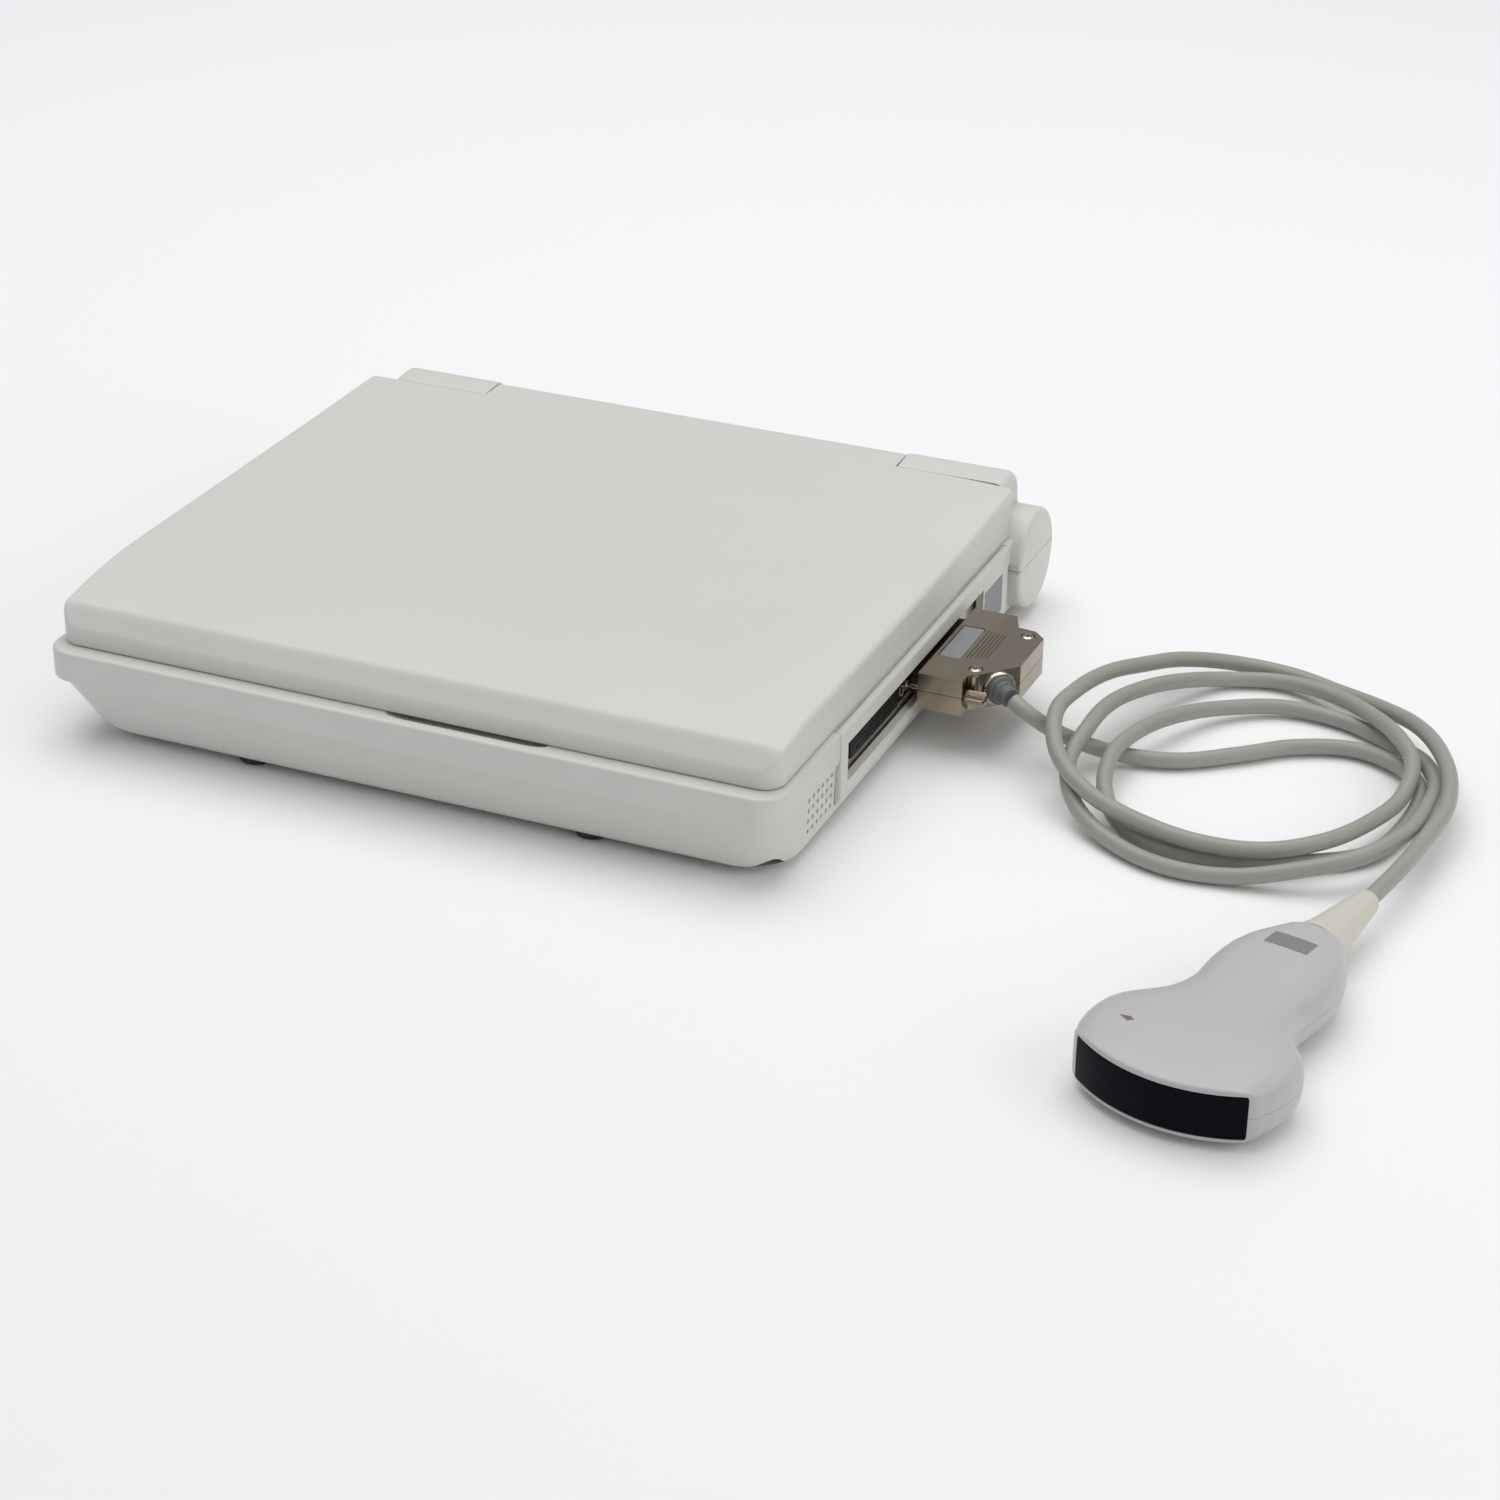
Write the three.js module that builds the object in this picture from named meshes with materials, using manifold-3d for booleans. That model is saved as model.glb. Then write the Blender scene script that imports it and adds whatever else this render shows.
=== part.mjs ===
// Laptop-style ultrasound scanner with a convex probe on a coiled-down cable.
// Millimetres, +Z up, +Y towards the hinge, +X towards the probe sockets.
// The origin is on the table under the middle of the console.
import * as THREE from "three";
import { mergeVertices } from "three/addons/utils/BufferGeometryUtils.js";
import Module from "manifold-3d";

const wasm = await Module();
wasm.setup();

// ---------- driving dimensions ----------
const GAP = 0.3; // clearance between neighbouring pieces
const HALF_DEPTH = 156.5;
const BAND_HALF_W = 164.5; // the widest belt of the case
const UNDERSIDE_Z = 3; // height of the feet
const PARTING_Z = 28.8; // between the lower and the upper case shell
const DECK_Z = 42;
const WALL = 2.5;
const LEDGE_Y = -148.7; // front face of the lid, set back from the belt
const LID_Z = 42.4;
const LID_TOP = 64.4;
const LID_HALF_W = 161.5;
const LID_REAR_Y = 122.3;
const RISER_Y = 122.9; // where the deck steps up behind the lid
const HINGE_Y = 135;
const HINGE_Z = 55;
const HUMP_R = 10.2;
const KNUCKLE_R = 9.4;
const HUMPS = [
  { from: -150.5, to: -101.5 },
  { from: 105.5, to: 156.5 },
];
const KNUCKLE = { from: -100.9, to: 104.9 }; // the lid's own knuckle between the humps
const PIN_R = 3;
const REAR_Y = 133.3; // axis of the round rear of the case
const REAR_Z = 27;
const REAR_R = 23;
const BOSS_OUT = 170; // outer face of the round side bosses
const BOSS_IN = 150;
const SIDE_X = 163; // right side wall

const PORT = { y0: -84.3, y1: 75, z0: 17.5, z1: 34.6 }; // opening for the probe sockets
const FRAME_X = 165.3; // outer face of the bezel round that opening
const FLANGE_X = 156.4; // rear face of the sockets' flanges
const TONGUE_X = 163.2; // outer face of the sockets
const SOCKET_PITCH = 69.75;
const PLUG_Y = 20.5; // middle of the rear socket and of the plug
const PLUG_Z = 27;
const DSUB = { length: 69.3, height: 12.5, screw: 31.75, shellLength: 55.4, shellHeight: 8.4 };
const HOOD_X = 167.2;
const HOOD_H = 16;

const CABLE_R = 3.4;
const CABLE_SIDES = 8;
const CABLE_STEPS = 80;

const PROBE_AT = new THREE.Vector3(344.1, -243.8, 14); // middle of the lens chord
const PROBE_TURN = THREE.MathUtils.degToRad(-12.2);
const LENS_R = 60;
const LENS_HALF_CHORD = 33.6;
const LENS_HALF_H = 8.57;
const BOOT_TO = 161.5;

const KEY_ROWS = 4;
const KEYS_IN_ROW = 12;
const KEY_PITCH = 21;
const KEY_DEPTH_PITCH = 18;
const KEYPAD = { x: 0, y: 34 };
const TRACKBALL = { x: 20, y: -84, z: 32, r: 12.7 };

const FOOT_WELL_R = 9.5;
const FEET = [
  { name: "foot_front_left", x: -77, y: -135.3 },
  { name: "foot_front_right", x: 77, y: -135.3 },
  { name: "foot_rear_left", x: -77, y: 110 },
  { name: "foot_rear_right", x: 77, y: 110 },
];
const BATTERY_DOOR = { x0: -136, x1: -40, y0: -112, y1: -30 };
const POSTS = [
  [-20, -60, 12],
  [-20, 70, 12],
  [48, -60, 12],
  [48, 70, 12],
  [66, -88, 12],
  [66, 78, 12],
  [140, -100, 12],
  [140, 90, 12],
];
const KEY_WELL = {
  x0: KEYPAD.x - (KEYS_IN_ROW * KEY_PITCH) / 2 - 1.5,
  x1: KEYPAD.x + (KEYS_IN_ROW * KEY_PITCH) / 2 + 1.5,
  y0: KEYPAD.y - (KEY_ROWS * KEY_DEPTH_PITCH) / 2 - 1.5,
  y1: KEYPAD.y + (KEY_ROWS * KEY_DEPTH_PITCH) / 2 + 1.5,
};
const KEYS = [
  { name: "freeze_key", x: 78, y: -84, r: 8 },
  { name: "select_key_left", x: -10, y: -84, r: 7 },
  { name: "select_key_right", x: 50, y: -84, r: 7 },
  { name: "power_button", x: -118, y: 86, r: 5.5 },
];
const KNOB = { x: 115, y: -84, r: 12 };

const SOCKETS = [
  { name: "probe_socket_front", y: PLUG_Y - SOCKET_PITCH },
  { name: "probe_socket_rear", y: PLUG_Y },
];
const LABEL = { x0: 169.8, x1: 179.8, y0: 5.5, y1: 37.3 };
const HOOD_SCREWS = [
  { name: "hood_screw_front", x: 188.9, y: -0.7 },
  { name: "hood_screw_rear", x: 198.4, y: 38 },
];
const GLAND = new THREE.Vector3(198.3, 1.7, PLUG_Z); // where the cable leaves the hood
const GLAND_DIRECTION = new THREE.Vector3(0.745, -0.667, 0).normalize();
const SCREEN_Y = -10; // middle of the screen

// ---------- colours ----------
const finish = (color, roughness, metalness = 0) =>
  new THREE.MeshStandardMaterial({ color, roughness, metalness });
const CASE_WHITE = finish(0xdcdcd6, 0.5);
const DECK_GREY = finish(0xc3c6c4, 0.55);
const DARK = finish(0x2a2d31, 0.5);
const KEY_GREY = finish(0x8d949a, 0.6);
const NICKEL = finish(0xb5aa98, 0.28, 1);
const STEEL = finish(0x9a9da0, 0.4, 1);
const BOARD = finish(0x1e5b38, 0.6);
const RUBBER = finish(0x55565a, 0.8);
const CABLE_GREY = finish(0xa8a69d, 0.55);
const PROBE_GREY = finish(0xc9c9c8, 0.45);
const BOOT_CREAM = finish(0xd5d2c0, 0.55);
const LENS_NAVY = finish(0x12171d, 0.35);
const LABEL_GREY = finish(0x8d9092, 0.5);
const BALL_BLUE = finish(0x3b5f9a, 0.25);
const FREEZE_GREEN = finish(0x4f9a72, 0.5);

// ---------- geometry helpers ----------
function solidOf(geometry) {
  const bare = geometry.clone();
  bare.deleteAttribute("normal");
  bare.deleteAttribute("uv");
  const merged = mergeVertices(bare, 1e-4);
  return new wasm.Manifold(
    new wasm.Mesh({
      numProp: 3,
      vertProperties: new Float32Array(merged.attributes.position.array),
      triVerts: new Uint32Array(merged.index.array),
    }),
  );
}

function geometryOf(solid) {
  const mesh = solid.getMesh();
  const geometry = new THREE.BufferGeometry();
  geometry.setAttribute("position", new THREE.BufferAttribute(mesh.vertProperties, 3));
  geometry.setIndex(new THREE.BufferAttribute(mesh.triVerts, 1));
  geometry.computeVertexNormals();
  return geometry;
}

// A block between two corners.
function block(x0, x1, y0, y1, z0, z1) {
  const geometry = new THREE.BoxGeometry(x1 - x0, y1 - y0, z1 - z0);
  geometry.translate((x0 + x1) / 2, (y0 + y1) / 2, (z0 + z1) / 2);
  return solidOf(geometry);
}

// A shape swept along an axis: "x" reads the shape as (y, z), "y" as (z, x), "z" as (x, y).
function sweep(shape, axis, from, to, curveSegments = 6) {
  const geometry = new THREE.ExtrudeGeometry(shape, {
    depth: to - from,
    bevelEnabled: false,
    curveSegments,
  });
  geometry.translate(0, 0, from);
  const turn = {
    x: new THREE.Matrix4().set(0, 0, 1, 0, 1, 0, 0, 0, 0, 1, 0, 0, 0, 0, 0, 1),
    y: new THREE.Matrix4().set(0, 1, 0, 0, 0, 0, 1, 0, 1, 0, 0, 0, 0, 0, 0, 1),
    z: new THREE.Matrix4(),
  };
  geometry.applyMatrix4(turn[axis]);
  return solidOf(geometry);
}

function polygon(points) {
  return new THREE.Shape(points.map(([u, v]) => new THREE.Vector2(u, v)));
}

function roundedRect(u0, u1, v0, v1, radius) {
  const shape = new THREE.Shape();
  shape.moveTo(u0 + radius, v0);
  shape.lineTo(u1 - radius, v0);
  shape.absarc(u1 - radius, v0 + radius, radius, -Math.PI / 2, 0);
  shape.lineTo(u1, v1 - radius);
  shape.absarc(u1 - radius, v1 - radius, radius, 0, Math.PI / 2);
  shape.lineTo(u0 + radius, v1);
  shape.absarc(u0 + radius, v1 - radius, radius, Math.PI / 2, Math.PI);
  shape.lineTo(u0, v0 + radius);
  shape.absarc(u0 + radius, v0 + radius, radius, Math.PI, Math.PI * 1.5);
  return shape;
}

// A round bar along an axis, through the point whose other two coordinates are given.
function bar(axis, a, b, radius, from, to, sides = 20) {
  const circle = new THREE.Shape();
  for (let i = 0; i < sides; i++) {
    const angle = ((i + 0.5) / sides) * Math.PI * 2;
    const u = a + radius * Math.cos(angle);
    const v = b + radius * Math.sin(angle);
    i === 0 ? circle.moveTo(u, v) : circle.lineTo(u, v);
  }
  return sweep(circle, axis, from, to);
}

// A turned part on the z axis from [radius, z] pairs that close on themselves or on the axis.
function turned(profile, sides = 24) {
  const points = profile.map(([r, z]) => new THREE.Vector2(r, z));
  return solidOf(new THREE.LatheGeometry(points, sides).rotateX(Math.PI / 2));
}

const joined = (...solids) => solids.reduce((a, b) => a.add(b));
const minus = (solid, ...cuts) => cuts.reduce((a, b) => a.subtract(b), solid);

const console_ = new THREE.Group();
const lid = new THREE.Group();
const plug = new THREE.Group();
const probe = new THREE.Group();

function place(group, name, solid, material) {
  const mesh = new THREE.Mesh(geometryOf(solid), material);
  mesh.name = name;
  group.add(mesh);
  return mesh;
}

// ---------- outlines ----------
// Side view of the whole base, front on the left, as (y, z).
function baseSideShape() {
  const shape = new THREE.Shape();
  shape.moveTo(-143.5, UNDERSIDE_Z);
  shape.quadraticCurveTo(-147.6, UNDERSIDE_Z, -148.3, 7.5);
  shape.lineTo(-154.8, PARTING_Z);
  shape.lineTo(-HALF_DEPTH, PARTING_Z);
  shape.lineTo(-HALF_DEPTH, 39.2);
  shape.quadraticCurveTo(-HALF_DEPTH, DECK_Z, -153.6, DECK_Z);
  shape.lineTo(RISER_Y, DECK_Z);
  shape.absarc(REAR_Y, REAR_Z, REAR_R, Math.acos((RISER_Y - REAR_Y) / REAR_R), -Math.PI / 2, true);
  shape.lineTo(130, UNDERSIDE_Z);
  return shape;
}

// Front view of the base as (z, x): the left wall leans in, the right one is nearly upright.
function baseFrontShape() {
  return polygon([
    [UNDERSIDE_Z, -149.5],
    [4.3, -151.6],
    [9, -153.6],
    [PARTING_Z, -162],
    [PARTING_Z, -BAND_HALF_W],
    [39.8, -BAND_HALF_W],
    [41.4, -163.6],
    [DECK_Z, -162],
    [50.5, -162],
    [50.5, 162],
    [DECK_Z, 162],
    [41.4, 163.6],
    [39.8, BAND_HALF_W],
    [PARTING_Z, BAND_HALF_W],
    [PARTING_Z, SIDE_X],
    [9, SIDE_X - 0.6],
    [4.3, SIDE_X - 2.2],
    [UNDERSIDE_Z, SIDE_X - 5],
  ]);
}

function basePlan() {
  return roundedRect(-BAND_HALF_W, BAND_HALF_W, -HALF_DEPTH, 170, 12);
}

// The room inside the base, as (y, z) and (z, x).
function roomSideShape() {
  const shape = new THREE.Shape();
  shape.moveTo(-142.5, UNDERSIDE_Z + WALL);
  shape.lineTo(-145.5, 9);
  shape.lineTo(-151.6, 27.5);
  shape.lineTo(-153.2, 38.8);
  shape.lineTo(149.6, 38.8);
  shape.absarc(REAR_Y, REAR_Z, REAR_R - WALL, THREE.MathUtils.degToRad(36), -Math.PI / 2, true);
  shape.lineTo(128, UNDERSIDE_Z + WALL);
  return shape;
}

function roomFrontShape() {
  return polygon([
    [UNDERSIDE_Z + WALL, -147.5],
    [9.5, -151],
    [28, -158.6],
    [30, -161.4],
    [38.8, -161.4],
    [38.8, 160.6],
    [9.5, 159.8],
    [UNDERSIDE_Z + WALL, 156.6],
  ]);
}

// ---------- base ----------
function wholeBase() {
  const body = sweep(baseSideShape(), "x", -BAND_HALF_W, BAND_HALF_W, 10)
    .intersect(sweep(baseFrontShape(), "y", -HALF_DEPTH, 170))
    .intersect(sweep(basePlan(), "z", UNDERSIDE_Z, 51, 5));
  const bosses = [-1, 1].map((side) => sideBoss(side));
  const humps = HUMPS.map(hingeHump);
  const room = sweep(roomSideShape(), "x", -162, 162, 8).intersect(
    sweep(roomFrontShape(), "y", -HALF_DEPTH, 156),
  );
  const scoopBacking = block(-14, 68, -154, -146, 33, 40);
  return minus(
    joined(minus(joined(body, ...bosses, ...humps), room), scoopBacking),
    block(-162.3, 162.3, -160, RISER_Y, DECK_Z, 70), // where the closed lid lies
    bar("x", HINGE_Y, HINGE_Z, KNUCKLE_R + 0.8, HUMPS[0].to, HUMPS[1].from, 24), // trough of the knuckle
    block(HUMPS[0].to, HUMPS[1].from, 120, HINGE_Y, 44.8, 70),
    bar("x", HINGE_Y, HINGE_Z, PIN_R + GAP, -130, 130, 16),
    sweep(roundedRect(-10, 64, -165, -149.6, 4.5), "z", 37.8, 50), // finger scoop
    rightSideCuts(),
    rearPanelCut(),
    leftVent(),
  );
}

// The round boss at each end of the rear, with a rounded rim.
function sideBoss(side) {
  const disc = turned(
    [
      [0, BOSS_IN],
      [REAR_R, BOSS_IN],
      [REAR_R, BOSS_OUT - 2.2],
      [REAR_R - 0.7, BOSS_OUT - 0.7],
      [REAR_R - 2.2, BOSS_OUT],
      [0, BOSS_OUT],
    ],
    32,
  );
  return disc.rotate([0, side * 90, 0]).translate([0, REAR_Y, REAR_Z]);
}

// A fixed hinge hump: level with the lid in front, half round above, running down into the round rear.
function hingeHump({ from, to }) {
  const shape = new THREE.Shape();
  shape.moveTo(RISER_Y, 40);
  shape.lineTo(RISER_Y, LID_TOP - 0.2);
  shape.quadraticCurveTo(129, HINGE_Z + HUMP_R, HINGE_Y, HINGE_Z + HUMP_R);
  shape.absarc(HINGE_Y, HINGE_Z, HUMP_R, Math.PI / 2, 0, true);
  shape.quadraticCurveTo(HINGE_Y + HUMP_R + 0.6, 49, 149.5, 42);
  shape.lineTo(146, 38);
  return sweep(shape, "x", from, to, 8);
}

// Everything cut into the right wall: the seat of the port frame, the opening behind it,
// the speaker holes and the slot for a security lock.
function rightSideCuts() {
  const holes = [];
  for (let column = 0; column < 6; column++) {
    for (let row = 0; row < 4; row++) {
      const y = -119.1 + column * 4.74;
      const z = 11.3 + row * 4.6;
      holes.push(bar("x", y, z, 1.5, 156, 167, 4));
    }
  }
  return joined(
    block(FRAME_X - 3.6, 175, -91.3, 108.3, 9.2, 41.3),
    block(150, 175, PORT.y0 - 5.7, PORT.y1 + 5, 12, 38),
    block(159, 175, 109.4, 111, 27.4, 31.8),
    ...holes,
  );
}

function rearPanelCut() {
  return block(-80.5, 80.5, 146.2, 160, 13.5, 38.6);
}

// Slots in the left wall in front of the fan.
function leftVent() {
  const slots = [];
  for (let i = 0; i < 6; i++) {
    slots.push(block(-168, -150, 34 + i * 6, 37 + i * 6, 12, 26));
  }
  return joined(...slots);
}

function bottomCase(base) {
  const half = minus(base, block(-200, 200, -200, 200, PARTING_Z - GAP / 2, 80));
  const footHoles = FEET.map(({ x, y }) => bar("z", x, y, FOOT_WELL_R, 0, 4.6, 20));
  const footPads = FEET.map(({ x, y }) => bar("z", x, y, FOOT_WELL_R + 1, 4, 7, 12).intersect(base));
  const door = BATTERY_DOOR;
  const posts = POSTS.map(([x, y, top]) => block(x - 3, x + 3, y - 3, y + 3, 5, top - GAP));
  return minus(
    joined(half, ...posts, ...footPads),
    ...footHoles,
    block(door.x0 - GAP, door.x1 + GAP, door.y0 - GAP, door.y1 + GAP, 0, 5.2),
    block(door.x0 + 4, door.x1 - 4, door.y0 + 4, door.y1 - 4, 0, 7),
  );
}

function topCase(base) {
  const half = minus(base, block(-200, 200, -200, 200, 0, PARTING_Z + GAP / 2));
  const round = ({ x, y, r }) => bar("z", x, y, r + 0.4, 30, 50, 12);
  return minus(
    half,
    sweep(roundedRect(-142, 142, -116, 100, 6), "z", 41.0, 50, 4), // seat of the control overlay
    block(KEY_WELL.x0, KEY_WELL.x1, KEY_WELL.y0, KEY_WELL.y1, 40.0, 50),
    ...KEYS.map(round),
    bar("z", TRACKBALL.x, TRACKBALL.y, 17.4, 40.2, 50, 16),
    bar("z", TRACKBALL.x, TRACKBALL.y, 13.4, 30, 50, 16),
    bar("z", KNOB.x, KNOB.y, KNOB.r + 0.5, 40.0, 50, 16),
    bar("z", KNOB.x, KNOB.y, 3.4, 30, 50, 12),
  );
}

// Board posts: place and height of their tops.

function foot({ name, x, y }) {
  const pad = turned([
    [0, 0],
    [6.5, 0],
    [7.5, 0.9],
    [7.5, 4.3],
    [0, 4.3],
  ], 16);
  place(console_, name, pad.translate([x, y, 0]), RUBBER);
}

// The bezel round the probe sockets, its lower rail leaning out of the wall.
function portFrame() {
  const profile = polygon([
    [FRAME_X - 3.3, 9.5],
    [FRAME_X - 1.9, 9.8],
    [FRAME_X - 0.7, 11.6],
    [FRAME_X, 14.2],
    [FRAME_X, 38.9],
    [FRAME_X - 0.6, 40.4],
    [FRAME_X - 1.8, 41.1],
    [FRAME_X - 3.3, 41.1],
  ].map(([x, z]) => [z, x]));
  const plate = sweep(profile, "y", -91, 108);
  return minus(
    plate,
    block(160, 175, PORT.y0, PORT.y1, PORT.z0, PORT.z1),
    block(FRAME_X - 0.8, 175, 76.9, 100.1, 14.3, 32.1), // seat of the rating plate
  );
}

// One of the two sockets: flange, contact tongue and the body behind it.
function probeSocket(y) {
  const half = DSUB.length / 2;
  const tongue = DSUB.shellLength / 2;
  return minus(
    joined(
      block(FLANGE_X, FLANGE_X + 1.2, y - half, y + half, PLUG_Z - 6.25, PLUG_Z + 6.25),
      sweep(dShape(y, PLUG_Z, tongue, DSUB.shellHeight / 2), "x", FLANGE_X + 0.6, TONGUE_X),
      block(FLANGE_X - 11, FLANGE_X + 0.2, y - tongue - 2, y + tongue + 2, PLUG_Z - 5, PLUG_Z + 5),
    ),
    bar("x", y - DSUB.screw, PLUG_Z, 1.7, 150, 170, 8),
    bar("x", y + DSUB.screw, PLUG_Z, 1.7, 150, 170, 8),
  );
}

// The D outline, as (y, z): the upper edge is the longer one.
function dShape(y, z, halfLength, halfHeight) {
  const lean = halfHeight * 0.35;
  return polygon([
    [y - halfLength + lean, z - halfHeight],
    [y + halfLength - lean, z - halfHeight],
    [y + halfLength, z + halfHeight - 1],
    [y + halfLength - 1, z + halfHeight],
    [y - halfLength + 1, z + halfHeight],
    [y - halfLength, z + halfHeight - 1],
  ]);
}

function jackNut(y) {
  const start = FLANGE_X + 1.5;
  return minus(
    bar("x", y, PLUG_Z, 2.7, start, start + 5, 6),
    bar("x", y, PLUG_Z, 1.55, start + 1, start + 6, 8),
  );
}

// Sheet-metal screen behind the sockets.
function portShield() {
  const half = DSUB.length / 2 + 0.5;
  const windows = SOCKETS.map(({ y }) =>
    block(150, 175, y - half, y + half, PLUG_Z - 6.2, PLUG_Z + 6.2),
  );
  return minus(block(159.9, 161.1, PORT.y0 - 5, PORT.y1 + 4.4, 12.5, 37.5), ...windows);
}

function board(x0, x1, y0, y1, z, chips) {
  const parts = chips.map(([cx, cy, w, d, h]) =>
    block(cx - w / 2, cx + w / 2, cy - d / 2, cy + d / 2, z + 1, z + 1.6 + h),
  );
  return joined(block(x0, x1, y0, y1, z, z + 1.6), ...parts);
}

function keyMat() {
  const { x0, x1, y0, y1 } = KEY_WELL;
  const sheet = block(x0 + 0.4, x1 - 0.4, y0 + 0.4, y1 - 0.4, 40.3, 41.2);
  const keys = [];
  for (let row = 0; row < KEY_ROWS; row++) {
    for (let column = 0; column < KEYS_IN_ROW; column++) {
      const x = KEYPAD.x + (column - (KEYS_IN_ROW - 1) / 2) * KEY_PITCH;
      const y = KEYPAD.y + (row - (KEY_ROWS - 1) / 2) * KEY_DEPTH_PITCH;
      keys.push(block(x - 8.5, x + 8.5, y - 7, y + 7, 41, 43.8));
    }
  }
  return joined(sheet, ...keys);
}

function controlOverlay() {
  const round = (x, y, r) => bar("z", x, y, r, 40, 45, 12);
  return minus(
    sweep(roundedRect(-141.7, 141.7, -115.7, 99.7, 6), "z", 41.3, 42.0, 4),
    block(KEY_WELL.x0, KEY_WELL.x1, KEY_WELL.y0, KEY_WELL.y1, 40, 45),
    ...KEYS.map(({ x, y, r }) => round(x, y, r + 0.5)),
    round(TRACKBALL.x, TRACKBALL.y, 17.6),
    round(KNOB.x, KNOB.y, KNOB.r + 0.6),
  );
}

// A round key: cap, stem and the foot that stops it from coming out.
function roundKey(r) {
  return turned(
    [
      [0, 33],
      [2.5, 33],
      [2.5, 39.5],
      [r, 39.5],
      [r, 43.6],
      [r - 0.8, 44.2],
      [0, 44.2],
    ],
    12,
  );
}

function fanHousing(y, z) {
  const frame = minus(
    block(-148, -138, y - 15, y + 15, z - 15, z + 15),
    bar("x", y, z, 13.6, -144.5, -137, 14),
    bar("x", y, z, 13.6, -149, -146, 14),
    bar("x", y, z, 10, -147, -144, 10),
  );
  const bridge = block(-146, -144.5, y - 11, y + 11, z - 1.5, z + 1.5);
  return joined(frame, bridge, bar("x", y, z, 1.2, -145, -141.6, 8));
}

function fanRotor(y, z) {
  const blades = [];
  for (let i = 0; i < 7; i++) {
    blades.push(block(-142.6, -139.4, -0.7, 0.7, 4, 12.6).rotate([(i * 360) / 7, 0, 0]));
  }
  const hub = minus(bar("x", 0, 0, 5.5, -143.6, -139, 16), bar("x", 0, 0, 1.5, -144, -141.2, 8));
  return joined(hub, ...blades).translate([0, y, z]);
}

// ---------- lid ----------
// Side view of the lid shell, front on the left, as (y, z).
function lidSideShape() {
  const shape = new THREE.Shape();
  shape.moveTo(LEDGE_Y, LID_Z);
  shape.lineTo(LEDGE_Y, 48.4);
  shape.quadraticCurveTo(LEDGE_Y, 49.6, -147.8, 50.6);
  shape.lineTo(-142.8, 57);
  shape.quadraticCurveTo(-141.6, 58.2, -139, 58.8);
  shape.quadraticCurveTo(-112, 63.4, -76, LID_TOP);
  shape.lineTo(LID_REAR_Y - 2, LID_TOP);
  shape.lineTo(LID_REAR_Y, LID_TOP - 2);
  shape.lineTo(LID_REAR_Y, LID_Z);
  return shape;
}

// Front view of the lid shell as (z, x); its right side slopes off a little more than its left one.
function lidFrontShape() {
  return polygon([
    [LID_Z, -LID_HALF_W],
    [61.6, -LID_HALF_W],
    [63, -LID_HALF_W + 0.7],
    [64, -LID_HALF_W + 3],
    [LID_TOP, -LID_HALF_W + 12],
    [LID_TOP, LID_HALF_W - 42],
    [63.4, LID_HALF_W - 22],
    [61.8, LID_HALF_W - 8],
    [60.6, LID_HALF_W - 2.4],
    [59.4, LID_HALF_W - 0.6],
    [57.4, LID_HALF_W],
    [LID_Z, LID_HALF_W],
  ]);
}

function lidCover() {
  const plan = joined(
    sweep(roundedRect(-LID_HALF_W, LID_HALF_W, LEDGE_Y, LID_REAR_Y - 5, 9), "z", LID_Z, LID_TOP, 4),
    sweep(roundedRect(-LID_HALF_W, LID_HALF_W, 0, LID_REAR_Y, 3), "z", LID_Z, LID_TOP, 3),
  );
  const shell = sweep(lidSideShape(), "x", -LID_HALF_W, LID_HALF_W, 6)
    .intersect(sweep(lidFrontShape(), "y", LEDGE_Y, LID_REAR_Y))
    .intersect(plan);
  const knuckle = joined(
    bar("x", HINGE_Y, HINGE_Z, KNUCKLE_R, KNUCKLE.from, KNUCKLE.to, 24),
    block(KNUCKLE.from, KNUCKLE.to, LID_REAR_Y - 4, HINGE_Y, 50.5, LID_TOP),
  );
  const rimSeat = sweep(roundedRect(-159.2, 159.2, -146.4, 118.2, 8), "z", 40, 47.8, 4);
  const room = sweep(roundedRect(-152, 152, -135, 116, 5), "z", 40, 57.5, 3).add(
    sweep(roundedRect(-138, 138, -96, 116, 5), "z", 40, 61.8, 3),
  );
  const humpClearance = [
    bar("x", HINGE_Y, HINGE_Z, 15.9, -170, KNUCKLE.from, 24),
    bar("x", HINGE_Y, HINGE_Z, 15.9, KNUCKLE.to, 170, 24),
  ];
  return minus(
    joined(shell, knuckle),
    rimSeat,
    room,
    ...humpClearance,
    bar("x", HINGE_Y, HINGE_Z, PIN_R + GAP, KNUCKLE.from - 1, -80, 16),
    bar("x", HINGE_Y, HINGE_Z, PIN_R + GAP, 80, KNUCKLE.to + 1, 16),
    ...[-1, 1].map((side) => block(side * 88 - 6.3, side * 88 + 6.3, 110, 136.5, 53.2, 56.8)),
  );
}

// Inner frame round the screen; its face looks down when the lid is shut.
function lidBezel() {
  return minus(
    sweep(roundedRect(-158.8, 158.8, -146, 117.8, 8), "z", 45.2, 47.5, 4),
    block(-123.5, 123.5, SCREEN_Y - 92.5, SCREEN_Y + 92.5, 40, 50),
  );
}

// Steel pin with a leaf that is screwed inside the lid.
function hingeArm(side) {
  const [from, to] = [side * 81, side * 127].sort((a, b) => a - b);
  const pin = bar("x", HINGE_Y, HINGE_Z, PIN_R, from, to, 16);
  return joined(pin, block(side * 88 - 6, side * 88 + 6, 100, HINGE_Y + 1, 53.6, 56.2));
}

// ---------- plug ----------
// A turned part whose own z axis points out of the hood's gland.
function onGland(profile, sides) {
  const turn = THREE.MathUtils.radToDeg(Math.atan2(GLAND_DIRECTION.y, GLAND_DIRECTION.x));
  return turned(profile, sides).rotate([0, 90, 0]).rotate([0, 0, turn]).translate(GLAND.toArray());
}

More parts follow.
